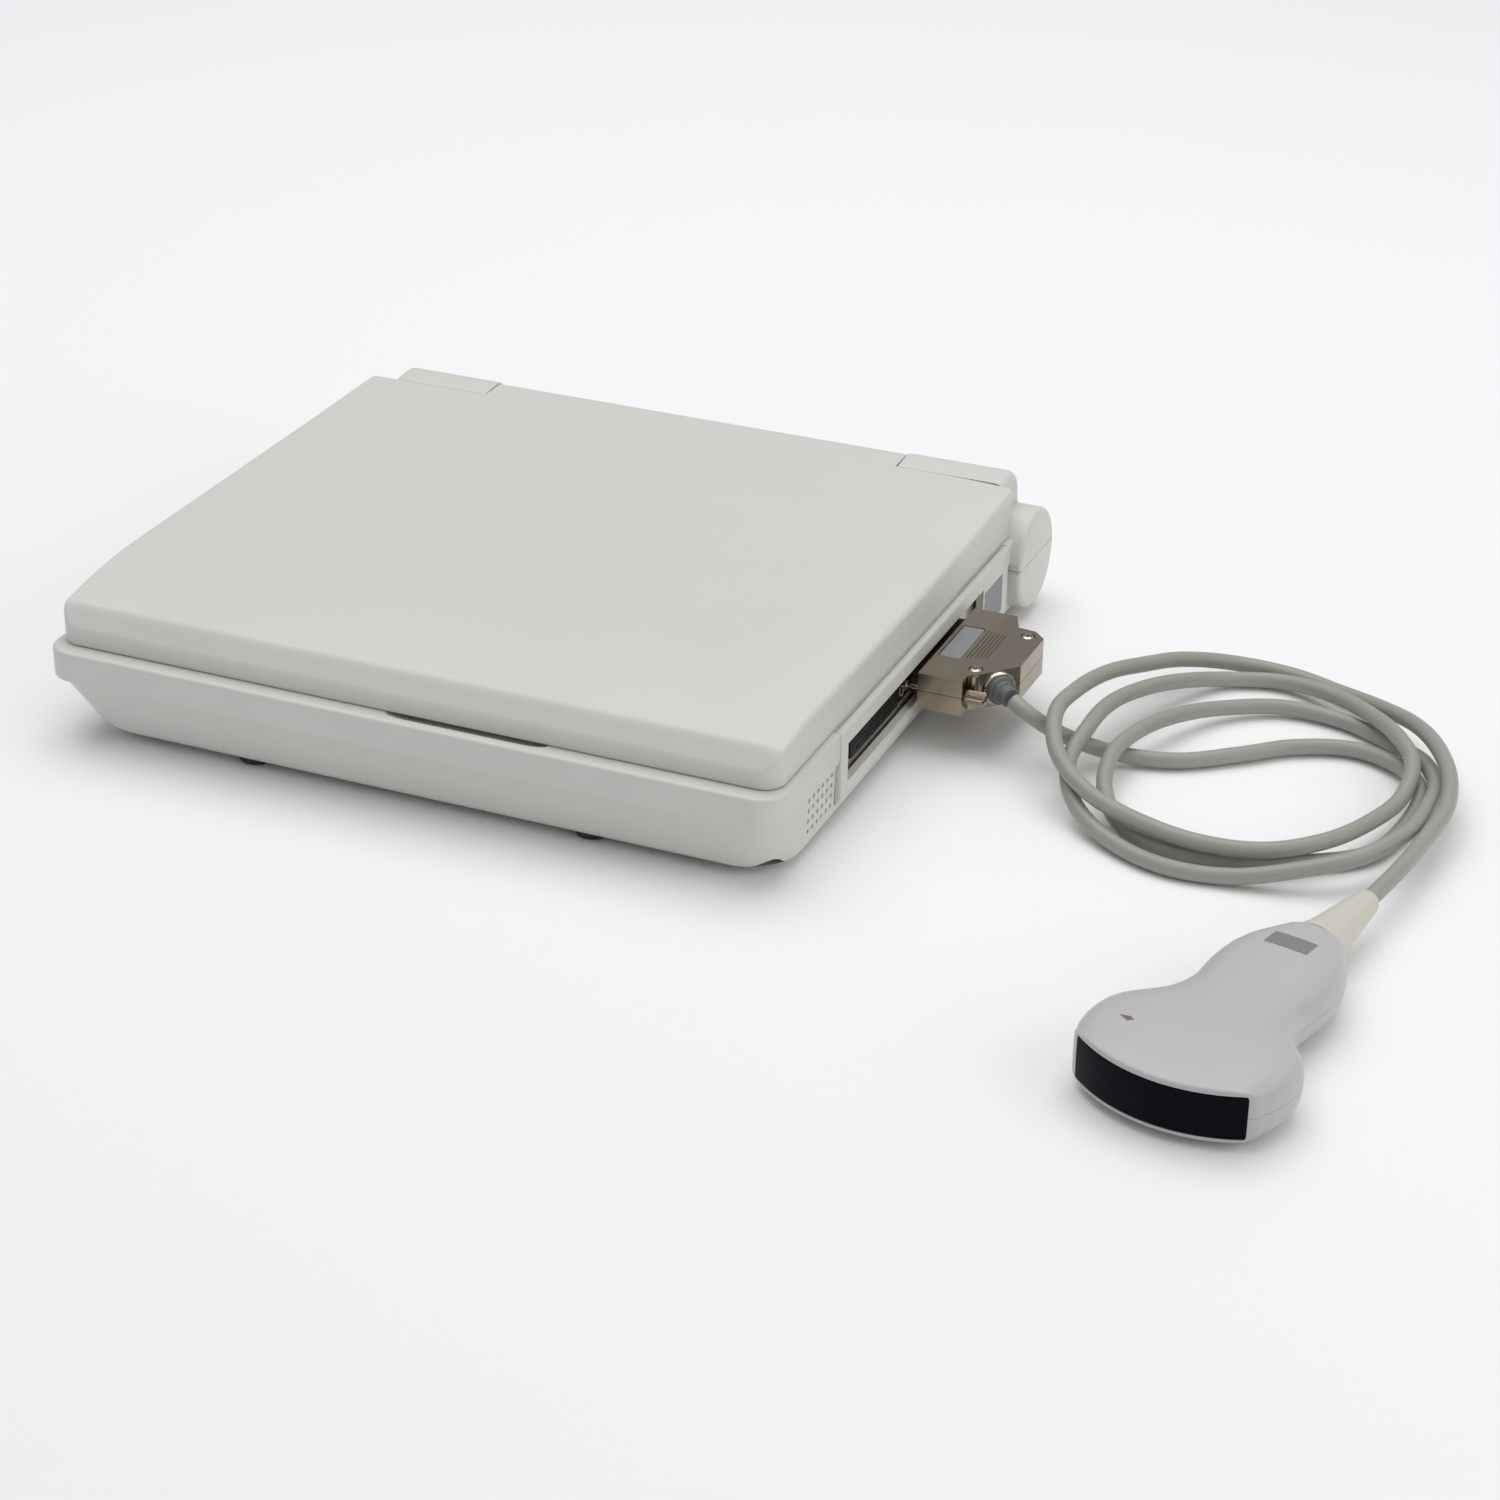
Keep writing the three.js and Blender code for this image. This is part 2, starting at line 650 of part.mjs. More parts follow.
function hoodOutline() {
  const half = DSUB.length / 2;
  return polygon([
    [HOOD_X + 1.1, PLUG_Y - half],
    [187.8, PLUG_Y - half],
    [188.2, -7.4],
    [191.6, -5.8],
    [205.1, 9.3],
    [205.3, 38.3],
    [199.9, 43.8],
    [191.9, 44.6],
    [187.7, PLUG_Y + half],
    [HOOD_X + 1.1, PLUG_Y + half],
  ]);
}

function hoodInside() {
  return polygon([
    [170.4, PLUG_Y - 31.5],
    [184, PLUG_Y - 24],
    [189.5, 0.5],
    [202, 12],
    [202, 37],
    [189.5, 41],
    [184, PLUG_Y + 24],
    [170.4, PLUG_Y + 31.5],
  ]);
}

function plugHood() {
  const top = PLUG_Z + HOOD_H / 2;
  const bottom = PLUG_Z - HOOD_H / 2;
  const outer = sweep(hoodOutline(), "z", bottom, top);
  const screws = [-1, 1].map((side) => {
    const y = PLUG_Y + side * DSUB.screw;
    return joined(bar("x", y, PLUG_Z, 1.8, 160, 200, 10), bar("x", y, PLUG_Z, 3.5, 187.9, 210, 16));
  });
  const posts = HOOD_SCREWS.map(({ x, y }) => bar("z", x, y, 3.6, bottom + 1, top - 1, 12));
  const shell = joined(
    minus(outer, sweep(hoodInside(), "z", bottom + 1.8, top - 1.8)),
    ...posts.map((post) => post.intersect(outer)),
  );
  return minus(
    shell,
    ...screws,
    ...HOOD_SCREWS.map(({ x, y }) => bar("z", x, y, 1.5, bottom + 2, 40, 10)),
    ...HOOD_SCREWS.map(({ x, y }) => bar("z", x, y, 3, top - 1.4, 40, 12)),
    block(168.3, 170.1, PLUG_Y - 33.6, PLUG_Y + 33.6, PLUG_Z - 6.4, PLUG_Z + 6.4),
    block(160, 171, PLUG_Y - 28.8, PLUG_Y + 28.8, PLUG_Z - 5.7, PLUG_Z + 5.7),
    onGland([[0, -9], [4.9, -9], [4.9, 5], [0, 5]], 16),
    block(LABEL.x0, LABEL.x1, LABEL.y0, LABEL.y1, top - 0.7, 40),
  );
}

function plugConnector() {
  const half = DSUB.shellLength / 2;
  const shell = minus(
    sweep(dShape(PLUG_Y, PLUG_Z, half + 1.1, DSUB.shellHeight / 2 + 1.1), "x", FLANGE_X + 1.7, 169),
    sweep(dShape(PLUG_Y, PLUG_Z, half + 0.4, DSUB.shellHeight / 2 + 0.4), "x", FLANGE_X - 1, 168.5),
  );
  return minus(
    joined(
      shell,
      block(168.6, 169.8, PLUG_Y - 33.2, PLUG_Y + 33.2, PLUG_Z - 6, PLUG_Z + 6),
      block(169, 176, PLUG_Y - half, PLUG_Y + half, PLUG_Z - 4.6, PLUG_Z + 4.6),
    ),
    ...[-1, 1].map((side) => bar("x", PLUG_Y + side * DSUB.screw, PLUG_Z, 1.6, 160, 180, 10)),
  );
}

function thumbscrew(side) {
  const y = PLUG_Y + side * DSUB.screw;
  return joined(
    bar("x", y, PLUG_Z, 1.2, FLANGE_X + 3.2, 189, 10),
    bar("x", y, PLUG_Z, 2.9, 188.4, 197.4, 18),
  );
}

// ---------- cable ----------
// Route from the plug to the probe, turn by turn, from the lowest turn to the highest.
const CABLE_ROUTE = [
  // down from the plug and over the table to the right
  [208, -7, 27], [215, -10, 24.5], [228, -7, 16.5], [250, 5, 6], [274, 13, 4], [296, 29, 4], [315, 45, 4],
  [339, 53, 4], [362, 42, 5], [374, 19, 6.5], [373, -7, 4], [366, -32, 4], [347, -48, 4],
  // first turn
  [322, -57, 4], [296, -62, 4], [272, -53, 4.5], [257, -33, 8.5], [252, -8, 12.5], [256, 18, 12.5],
  [265, 43, 9.5], [279, 64, 6], [301, 78, 4.5], [327, 77, 4], [351, 65, 4], [369, 47, 7.5],
  [379, 23, 10.5], [381, -3, 13], [379, -29, 14.5], [367, -52, 13], [345, -66, 9], [321, -73, 4.5],
  // second turn
  [295, -75, 4], [270, -65, 4.5], [250, -49, 8], [239, -27, 14], [239, -1, 19], [240, 25, 18],
  [246, 50, 14.5], [256, 74, 9.5], [271, 94, 4.5], [295, 102, 4.5], [319, 92, 7.5], [338, 75, 11],
  [355, 54, 14], [367, 32, 14], [369, 6, 11], [362, -19, 10.5], [350, -42, 11], [330, -59, 11],
  // third turn, then forwards to the probe
  [305, -64, 11.5], [279, -59, 12.5], [255, -49, 15], [236, -32, 20.5], [227, -9, 26.5], [228, 17, 26],
  [233, 43, 23], [241, 67, 17.5], [252, 90, 12], [270, 108, 6], [296, 111, 4], [320, 102, 4.5],
  [341, 87, 8.5], [359, 69, 13], [373, 47, 16.5], [384, 23, 16.5], [389, -3, 15.5], [387, -29, 14.5],
  [384, -55, 14.5], [378.4, -84.9, 14],
];

function probeCable() {
  const route = CABLE_ROUTE.map((point) => new THREE.Vector3(...point));
  const section = new THREE.Shape();
  for (let i = 0; i < CABLE_SIDES; i++) {
    const angle = (i / CABLE_SIDES) * Math.PI * 2;
    const u = CABLE_R * Math.cos(angle);
    const v = CABLE_R * Math.sin(angle);
    i === 0 ? section.moveTo(u, v) : section.lineTo(u, v);
  }
  return solidOf(
    new THREE.ExtrudeGeometry(section, {
      steps: CABLE_STEPS,
      extrudePath: new THREE.CatmullRomCurve3(route, false, "centripetal"),
      curveSegments: 1,
    }),
  );
}

// ---------- probe, built along +Y from the middle of its lens chord ----------
// Half width and half height of the housing at each distance from the lens.
const PROBE_SECTIONS = [
  [-10.5, 37.2, 11],
  [-4, 38.2, 11.6],
  [6, 39.4, 12.4],
  [18, 40.4, 13],
  [28, 40.1, 13.2],
  [35, 38, 13.3],
  [41, 33.4, 13.2],
  [47, 28.2, 13.1],
  [55, 24.6, 12.9],
  [64, 22.9, 12.7],
  [78, 24, 12.8],
  [90, 23.6, 12.9],
  [100, 21.4, 12.6],
  [108, 17.8, 12.1],
  [116.2, 13.6, 11.2],
];

// A body with superelliptic sections, made by shaping a cylinder ring by ring.
function probeBody(inset) {
  const rings = PROBE_SECTIONS.length - 1;
  const sides = 16;
  const geometry = new THREE.CylinderGeometry(1, 1, 1, sides, rings);
  const position = geometry.attributes.position;
  for (let i = 0; i < position.count; i++) {
    const ring = Math.round((0.5 - position.getY(i)) * rings);
    const [along, halfWidth, halfHeight] = PROBE_SECTIONS[rings - ring];
    const radius = Math.hypot(position.getX(i), position.getZ(i));
    const angle = Math.atan2(position.getZ(i), position.getX(i));
    const power = 0.62;
    const shape = (value) => Math.sign(value) * Math.abs(value) ** power * Math.min(radius, 1);
    position.setXYZ(
      i,
      (halfWidth - inset) * shape(Math.cos(angle)),
      along,
      (halfHeight - inset) * shape(Math.sin(angle)),
    );
  }
  return solidOf(geometry);
}

// The room between two arcs round the middle of the lens, as a block of the given half height.
function lensArc(outer, inner, halfWidth, halfHeight) {
  const centre = Math.sqrt(LENS_R ** 2 - LENS_HALF_CHORD ** 2);
  const from = -Math.PI / 2 - Math.asin(Math.min(halfWidth / outer, 1));
  const to = -Math.PI / 2 + Math.asin(Math.min(halfWidth / outer, 1));
  const innerTo = -Math.PI / 2 + Math.asin(halfWidth / inner);
  const innerFrom = -Math.PI / 2 - Math.asin(halfWidth / inner);
  const shape = new THREE.Shape();
  shape.absarc(0, centre, outer, from, to, false);
  shape.absarc(0, centre, inner, innerTo, innerFrom, true);
  return sweep(shape, "z", -halfHeight, halfHeight, 10);
}

function probeShell() {
  const centre = Math.sqrt(LENS_R ** 2 - LENS_HALF_CHORD ** 2);
  const face = LENS_R - 1.4;
  const window = LENS_HALF_CHORD + GAP;
  const front = new THREE.Shape();
  const spread = Math.asin(45 / face);
  front.absarc(0, centre, face, -Math.PI / 2 - spread, -Math.PI / 2 + spread, false);
  front.lineTo(50, 140);
  front.lineTo(-50, 140);
  const solid = probeBody(0).intersect(sweep(front, "z", -20, 20, 10));
  const room = probeBody(2.4).intersect(block(-50, 50, 2, 140, -20, 20));
  return minus(
    solid,
    room,
    block(-window, window, -20, 8, -LENS_HALF_H - GAP, LENS_HALF_H + GAP),
    bar("y", 0, 0, 8.3, 105, 140, 20),
  );
}

function probeBoot() {
  return turned(
    [
      [0, 109],
      [7.9, 109],
      [7.9, 116.6],
      [10.6, 116.6],
      [10.4, 120.4],
      [9.2, 125],
      [8.2, 134],
      [6.4, 150],
      [5.2, BOOT_TO - 0.8],
      [4.4, BOOT_TO],
      [0, BOOT_TO],
    ],
    14,
  ).rotate([-90, 0, 0]);
}

// ---------- assembly ----------
const base = wholeBase();
place(console_, "bottom_case", bottomCase(base), CASE_WHITE);
place(console_, "top_case", topCase(base), CASE_WHITE);
FEET.forEach(foot);
place(console_, "port_frame", portFrame(), CASE_WHITE);
place(console_, "port_shield", portShield(), STEEL);
SOCKETS.forEach(({ name, y }) => {
  place(console_, name, probeSocket(y), DARK);
  place(console_, name.replace("probe_socket", "jack_nut") + "_a", jackNut(y - DSUB.screw), STEEL);
  place(console_, name.replace("probe_socket", "jack_nut") + "_b", jackNut(y + DSUB.screw), STEEL);
});
place(console_, "rating_plate", block(FRAME_X - 0.5, FRAME_X, 77.3, 99.7, 14.6, 31.8), LABEL_GREY);
place(console_, "speaker", bar("x", -107.2, 18.5, 11.5, 152, 157.5, 16), DARK);

place(console_, "rear_io_plate", minus(
  block(-80, 80, 144.4, 145.9, 13.8, 38.4),
  block(-66.3, -53.7, 140, 150, 20.7, 33.3),
  block(-40.3, -23.7, 140, 150, 20.2, 33.8),
  block(13.7, 46.3, 140, 150, 21.2, 32.8),
  block(55.7, 70.3, 140, 150, 23.2, 30.8),
), DARK);
place(console_, "dc_inlet", minus(
  block(-66, -54, 136, 147, 21, 33),
  bar("y", 27, -60, 3, 139, 150, 14),
), DARK);
place(console_, "video_jack", minus(
  block(14, 46, 138, 147, 21.5, 32.5),
  block(17, 43, 141, 150, 24, 30),
), STEEL);
place(console_, "usb_port", minus(
  block(56, 70, 136, 147, 23.5, 30.5),
  block(57, 69, 139, 150, 24.5, 29.5),
), STEEL);
const rockerSide = polygon([[138, 20.6], [145.4, 20.6], [147.6, 27], [146.2, 33.4], [138, 33.4]]);
place(console_, "power_rocker", sweep(rockerSide, "x", -40, -24), DARK);

// Chips on the boards as [x, y, width, depth, height].
place(console_, "main_board", board(-24, 52, -64, 74, 12, [
  [0, 0, 30, 30, 3],
  [30, 40, 14, 20, 2],
  [-10, 50, 12, 12, 2],
]), BOARD);
place(console_, "beamformer_board", board(62, 144, -104, 94, 12, [
  [90, -40, 26, 26, 3],
  [90, 20, 26, 26, 3],
  [125, -10, 16, 60, 4],
]), BOARD);
place(console_, "battery_pack", block(-134, -42, -110, -32, 7.4, 26), DARK);
place(console_, "battery_door", minus(
  block(BATTERY_DOOR.x0, BATTERY_DOOR.x1, BATTERY_DOOR.y0, BATTERY_DOOR.y1, UNDERSIDE_Z, 4.9),
  block(-92, -84, -40, -34, 2, 4),
), CASE_WHITE);
place(console_, "fan_housing", fanHousing(50, 21.5), DARK);
place(console_, "fan_rotor", fanRotor(50, 21.5), DARK);

place(console_, "control_overlay", controlOverlay(), DECK_GREY);
place(console_, "key_mat", keyMat(), KEY_GREY);
KEYS.forEach(({ name, x, y, r }) => {
  const color = name === "freeze_key" ? FREEZE_GREEN : KEY_GREY;
  place(console_, name, roundKey(r).translate([x, y, 0]), color);
});
place(console_, "gain_knob", turned([
  [0, 31],
  [3, 31],
  [3, 40.3],
  [KNOB.r, 40.3],
  [KNOB.r, 43.8],
  [KNOB.r - 1, 44.6],
  [0, 44.6],
], 16).translate([KNOB.x, KNOB.y, 0]), KEY_GREY);
const ball = (radius, across, down) =>
  solidOf(new THREE.SphereGeometry(radius, across, down)).translate([TRACKBALL.x, TRACKBALL.y, TRACKBALL.z]);
place(console_, "trackball", ball(TRACKBALL.r, 14, 10), BALL_BLUE);
place(console_, "trackball_ring", minus(
  bar("z", TRACKBALL.x, TRACKBALL.y, 17, 40.5, 42.6, 16),
  bar("z", TRACKBALL.x, TRACKBALL.y, 10.4, 38, 44, 16),
), DARK);
place(console_, "trackball_housing", minus(
  bar("z", TRACKBALL.x, TRACKBALL.y, 15.4, 17.5, 38.5, 12),
  ball(TRACKBALL.r + 1, 12, 8),
  bar("z", TRACKBALL.x, TRACKBALL.y, 13.6, TRACKBALL.z, 42, 12),
), DARK);

place(lid, "lid_cover", lidCover(), CASE_WHITE);
place(lid, "lid_bezel", lidBezel(), DECK_GREY);
place(lid, "lcd_panel", block(-130.5, 130.5, SCREEN_Y - 99.5, SCREEN_Y + 99.5, 47.8, 53.5), DARK);
place(lid, "inverter_board", block(-60, 60, 93.5, 104, 49, 51.5), BOARD);
place(lid, "hinge_arm_left", hingeArm(-1), STEEL);
place(lid, "hinge_arm_right", hingeArm(1), STEEL);

const hood = plugHood();
place(plug, "plug_hood_upper", minus(hood, block(150, 250, -60, 90, 0, PLUG_Z + 0.1)), NICKEL);
place(plug, "plug_hood_lower", minus(hood, block(150, 250, -60, 90, PLUG_Z - 0.1, 60)), NICKEL);
place(plug, "plug_connector", plugConnector(), STEEL);
place(plug, "plug_label", block(
  LABEL.x0 + GAP, LABEL.x1 - GAP,
  LABEL.y0 + GAP, LABEL.y1 - GAP,
  34.4, 34.8,
), LABEL_GREY);
HOOD_SCREWS.forEach(({ name, x, y }) => {
  place(plug, name, joined(bar("z", x, y, 1.1, 23, 34, 8), bar("z", x, y, 2.7, 33.8, 35.3, 14)), STEEL);
});
place(plug, "thumbscrew_front", thumbscrew(-1), STEEL);
place(plug, "thumbscrew_rear", thumbscrew(1), STEEL);
place(plug, "plug_grommet", onGland([
  [0, -8],
  [4.5, -8],
  [4.5, 0.4],
  [6.2, 0.4],
  [6.2, 2.4],
  [5, 2.6],
  [4, 10],
  [3.6, 10.8],
  [0, 10.8],
], 18), RUBBER);
place(plug, "probe_cable", probeCable(), CABLE_GREY);

const shell = probeShell();
place(probe, "probe_shell_upper", minus(shell, block(-60, 60, -30, 140, -20, 0.15)), PROBE_GREY);
place(probe, "probe_shell_lower", minus(shell, block(-60, 60, -30, 140, -0.15, 20)), PROBE_GREY);
place(probe, "probe_lens", lensArc(LENS_R, 54, LENS_HALF_CHORD, LENS_HALF_H), LENS_NAVY);
place(probe, "probe_array", lensArc(53.6, 42, 29, 6.5), DARK);
place(probe, "probe_boot", probeBoot(), BOOT_CREAM);
probe.position.copy(PROBE_AT);
probe.rotation.z = PROBE_TURN;

const ultrasoundScanner = new THREE.Group();
ultrasoundScanner.add(console_, lid, plug, probe);
export default ultrasoundScanner;
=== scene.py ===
# Laptop-style ultrasound scanner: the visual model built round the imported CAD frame.
# Metres, the CAD's own frame. Lengths below are written in millimetres and scaled by MM.
import math

import bmesh
import bpy
from mathutils import Matrix, Vector


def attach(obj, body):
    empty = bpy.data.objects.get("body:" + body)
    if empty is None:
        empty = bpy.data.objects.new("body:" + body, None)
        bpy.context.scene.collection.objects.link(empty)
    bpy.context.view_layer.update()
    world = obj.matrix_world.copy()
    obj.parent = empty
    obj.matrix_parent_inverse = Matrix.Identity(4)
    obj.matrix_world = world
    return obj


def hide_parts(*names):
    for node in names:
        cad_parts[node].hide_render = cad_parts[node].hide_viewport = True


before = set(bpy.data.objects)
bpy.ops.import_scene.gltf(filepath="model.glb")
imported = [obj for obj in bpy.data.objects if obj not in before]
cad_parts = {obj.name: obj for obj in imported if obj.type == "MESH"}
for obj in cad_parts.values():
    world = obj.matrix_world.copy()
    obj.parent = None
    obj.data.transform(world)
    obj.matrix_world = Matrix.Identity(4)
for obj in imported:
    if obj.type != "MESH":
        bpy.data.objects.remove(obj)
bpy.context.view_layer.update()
MM = 0.001

# ---------- dimensions shared with the CAD ----------
BAND_X = 164.5
FRONT_Y = -156.5
UNDERSIDE_Z = 3
PARTING_Z = 28.8
SEAM = 0.15
BELT_CORNER, BELT_EDGE = 12, 1.6
TUB_CORNER_GROWTH = 10
DECK_Z = 42
LID_X, LID_FRONT, LID_REAR = 161.5, -148.7, 122.3
LID_Z, LID_TOP = 42.25, 64.4
RISER_Y = 122.9
HINGE_Y, HINGE_Z = 135, 55
HUMP_R, KNUCKLE_R = 10.2, 9.4
HUMPS = [(-150.5, -101.5), (105.5, 156.5)]
KNUCKLE = (-100.9, 104.9)
REAR_Y, REAR_Z, REAR_R = 133.3, 27, 23
BOSS_IN, BOSS_X = 150, 170
BOSS_RIM = 2.4
PORT_Y, PORT_Z = (-84.3, 75), (17.5, 34.6)
FRAME_X = 165.3
FLANGE_X, TONGUE_X = 156.4, 163.2
PLUG_Y, PLUG_Z = 20.5, 27
DSUB_LENGTH, DSUB_SCREW, DSUB_SHELL = 69.3, 31.75, 55.4
SOCKET_PITCH = 69.75
HOOD_H = 16
CABLE_R = 3.4
PROBE_AT = Vector((344.1, -243.8, 14))
PROBE_TURN = math.radians(-12.2)
LENS_R, LENS_HALF_CHORD, LENS_HALF_H = 60, 33.6, 8.57
KEYS = [
    ("freeze_key", 78, -84, 8),
    ("select_key_left", -10, -84, 7),
    ("select_key_right", 50, -84, 7),
    ("power_button", -118, 86, 5.5),
]
TRACKBALL = (20, -84)
TRACKBALL_Z, TRACKBALL_R = 32, 12.7
KNOB = (115, -84, 12)
FEET = [
    ("foot_front_left", -77, -135.3),
    ("foot_front_right", 77, -135.3),
    ("foot_rear_left", -77, 110),
    ("foot_rear_right", 77, 110),
]
FOOT_WELL_R = 7.9
SCOOP_X, SCOOP_HALF = 28, 36
# Cuts as x, y and z limits: the lock slot, the rear connector panel, the battery door's seat, the
# rating plate's seat.
LOCK_SLOT = (150, 178, 109.4, 111, 27.4, 31.8)
REAR_PANEL = (-80.5, 80.5, 146.2, 170, 13.5, 38.6)
BATTERY_SEAT = (-136.3, -39.7, -112.3, -29.7, 0, 5.2)
PLATE_SEAT = (FRAME_X - 0.8, 178, 76.9, 100.1, 14.3, 32.1)
KEY_WELL = (-127.5, 127.5, -3.5, 71.5, 40, 60)
GRILLE_AT, GRILLE_PITCH, GRILLE_HOLE_R = (-119.1, 11.3), (4.74, 4.6), 1.05


# ---------- camera ----------
def make_camera():
    yaw, pitch, roll = math.radians(22.823), math.radians(27.505), math.radians(0.755)
    level = math.cos(pitch)
    forward = Vector((-math.sin(yaw) * level, math.cos(yaw) * level, -math.sin(pitch)))
    side = forward.cross(Vector((0, 0, 1))).normalized()
    above = side.cross(forward)
    right = side * math.cos(roll) + above * math.sin(roll)
    up = above * math.cos(roll) - side * math.sin(roll)
    data = bpy.data.cameras.new("camera")
    data.sensor_width = 36
    data.lens = 82.62
    camera = bpy.data.objects.new("camera", data)
    turn = Matrix((right, up, -forward)).transposed().to_4x4()
    camera.matrix_world = Matrix.Translation((0.60067, -1.21975, 0.66389)) @ turn
    bpy.context.scene.collection.objects.link(camera)
    bpy.context.scene.camera = camera


make_camera()


# ---------- materials ----------
def new_material(name, color, roughness, metallic=0.0):
    material = bpy.data.materials.new(name)
    material.use_nodes = True
    shader = material.node_tree.nodes["Principled BSDF"]
    shader.inputs["Base Color"].default_value = (*color, 1)
    shader.inputs["Roughness"].default_value = roughness
    shader.inputs["Metallic"].default_value = metallic
    return material, shader


def noise(tree, scale, detail=3):
    """A noise texture in the frame's own coordinates; scale is in features per metre."""
    place = tree.nodes.new("ShaderNodeTexCoord")
    texture = tree.nodes.new("ShaderNodeTexNoise")
    texture.inputs["Scale"].default_value = scale
    texture.inputs["Detail"].default_value = detail
    tree.links.new(place.outputs["Object"], texture.inputs["Vector"])
    return texture


def ranged(tree, source, low, high):
    """source, which runs from 0 to 1, spread between low and high."""
    spread = tree.nodes.new("ShaderNodeMapRange")
    spread.inputs["From Min"].default_value = 0.3
    spread.inputs["From Max"].default_value = 0.7
    spread.inputs["To Min"].default_value = low
    spread.inputs["To Max"].default_value = high
    tree.links.new(source, spread.inputs["Value"])
    return spread.outputs["Result"]


def tinted(tree, shader, color, factor, darker):
    """Base colour that drifts between color and a slightly darker one."""
    mix = tree.nodes.new("ShaderNodeMix")
    mix.data_type = "RGBA"
    mix.inputs["A"].default_value = (*color, 1)
    mix.inputs["B"].default_value = (*[channel * darker for channel in color], 1)
    tree.links.new(factor, mix.inputs["Factor"])
    tree.links.new(mix.outputs["Result"], shader.inputs["Base Color"])


def bumped(tree, shader, height, distance, strength):
    bump = tree.nodes.new("ShaderNodeBump")
    bump.inputs["Distance"].default_value = distance
    bump.inputs["Strength"].default_value = strength
    tree.links.new(height, bump.inputs["Height"])
    tree.links.new(bump.outputs["Normal"], shader.inputs["Normal"])


def plastic(name, color, roughness, grain=1100, bump=0.12, drift=0.97, specular=0.5):
    """Moulded plastic: fine spark-eroded grain, handling marks in the gloss, faint uneven tone."""
    material, shader = new_material(name, color, roughness)
    tree = material.node_tree
    shader.inputs["Specular IOR Level"].default_value = specular
    fine = noise(tree, grain, 2)
    broad = noise(tree, 14, 4)
    tinted(tree, shader, color, ranged(tree, broad.outputs["Fac"], 0, 1), drift)
    gloss = ranged(tree, broad.outputs["Fac"], roughness - 0.05, roughness + 0.06)
    tree.links.new(gloss, shader.inputs["Roughness"])
    bumped(tree, shader, fine.outputs["Fac"], 0.00006, bump)
    return material


def metal(name, color, roughness, grain=260, bump=0.05, stretch=(1, 1, 1)):
    """Plated or brushed metal with a cloudy gloss."""
    material, shader = new_material(name, color, roughness, 1)
    tree = material.node_tree
    cloud = noise(tree, grain, 4)
    mapping = tree.nodes.new("ShaderNodeMapping")
    mapping.inputs["Scale"].default_value = stretch
    link = cloud.inputs["Vector"].links[0]
    tree.links.new(link.from_socket, mapping.inputs["Vector"])
    tree.links.new(mapping.outputs["Vector"], cloud.inputs["Vector"])
    broad = noise(tree, 45, 3)
    tinted(tree, shader, color, ranged(tree, broad.outputs["Fac"], 0, 1), 0.93)
    gloss = ranged(tree, cloud.outputs["Fac"], roughness - 0.04, roughness + 0.05)
    tree.links.new(gloss, shader.inputs["Roughness"])
    bumped(tree, shader, cloud.outputs["Fac"], 0.00005, bump)
    return material


CASE = plastic("case_white", (0.655, 0.655, 0.615), 0.42)
DECK = plastic("deck_grey", (0.50, 0.52, 0.51), 0.5)
FOOT = plastic("foot_rubber", (0.035, 0.036, 0.038), 0.75, 700, 0.4)
STEEL = metal("sheet_steel", (0.56, 0.50, 0.42), 0.3, stretch=(1, 6, 1))
BRIGHT = metal("bright_plating", (0.60, 0.56, 0.50), 0.16, 120, 0.01)
BRONZE = metal("bronze_plating", (0.13, 0.10, 0.07), 0.3, 120, 0.02)
BLACK = plastic("black_plastic", (0.007, 0.007, 0.008), 0.42, 900, 0.15, 0.97, 0.1)
LABEL = plastic("label_grey", (0.23, 0.235, 0.245), 0.42, 500, 0.05)
BOARD = plastic("board_green", (0.012, 0.10, 0.045), 0.45, 300, 0.3)
KEYGREY = plastic("key_grey", (0.27, 0.30, 0.33), 0.55)
BUTTON = plastic("button_grey", (0.34, 0.36, 0.38), 0.5)
GREEN = plastic("freeze_green", (0.07, 0.32, 0.17), 0.45)
BALL = plastic("ball_blue", (0.04, 0.10, 0.33), 0.18, 300, 0.02)
SCREEN = plastic("screen_dark", (0.012, 0.013, 0.015), 0.22, 2500, 0.05)
NICKEL = metal("nickel_plating", (0.36, 0.305, 0.235), 0.2, 90, 0.012)
GROMMET = plastic("grommet_grey", (0.125, 0.13, 0.135), 0.5, 600, 0.2)
CABLE = plastic("cable_grey", (0.335, 0.335, 0.30), 0.4, 500, 0.1)
PROBE = plastic("probe_grey", (0.50, 0.495, 0.49), 0.36)
LENS = plastic("lens_navy", (0.002, 0.0035, 0.006), 0.38, 400, 0.03, 0.97, 0.05)
MARK = plastic("mark_brown", (0.20, 0.12, 0.11), 0.5, 500, 0.03)
BOOT = plastic("boot_cream", (0.62, 0.60, 0.515), 0.45, 700, 0.15)


# ---------- mesh helpers ----------
def skin(loops, closed=True):
    """Vertices and faces of the surface through equal loops of points, with both ends closed."""
    size = len(loops[0])
    points = [point for loop in loops for point in loop]
    faces = []
    for row in range(len(loops) - 1):
        for column in range(size if closed else size - 1):
            a = row * size + column
            b = row * size + (column + 1) % size
            faces.append((a, b, b + size, a + size))
    faces.append(tuple(range(size - 1, -1, -1)))
    faces.append(tuple((len(loops) - 1) * size + column for column in range(size)))
    return points, faces


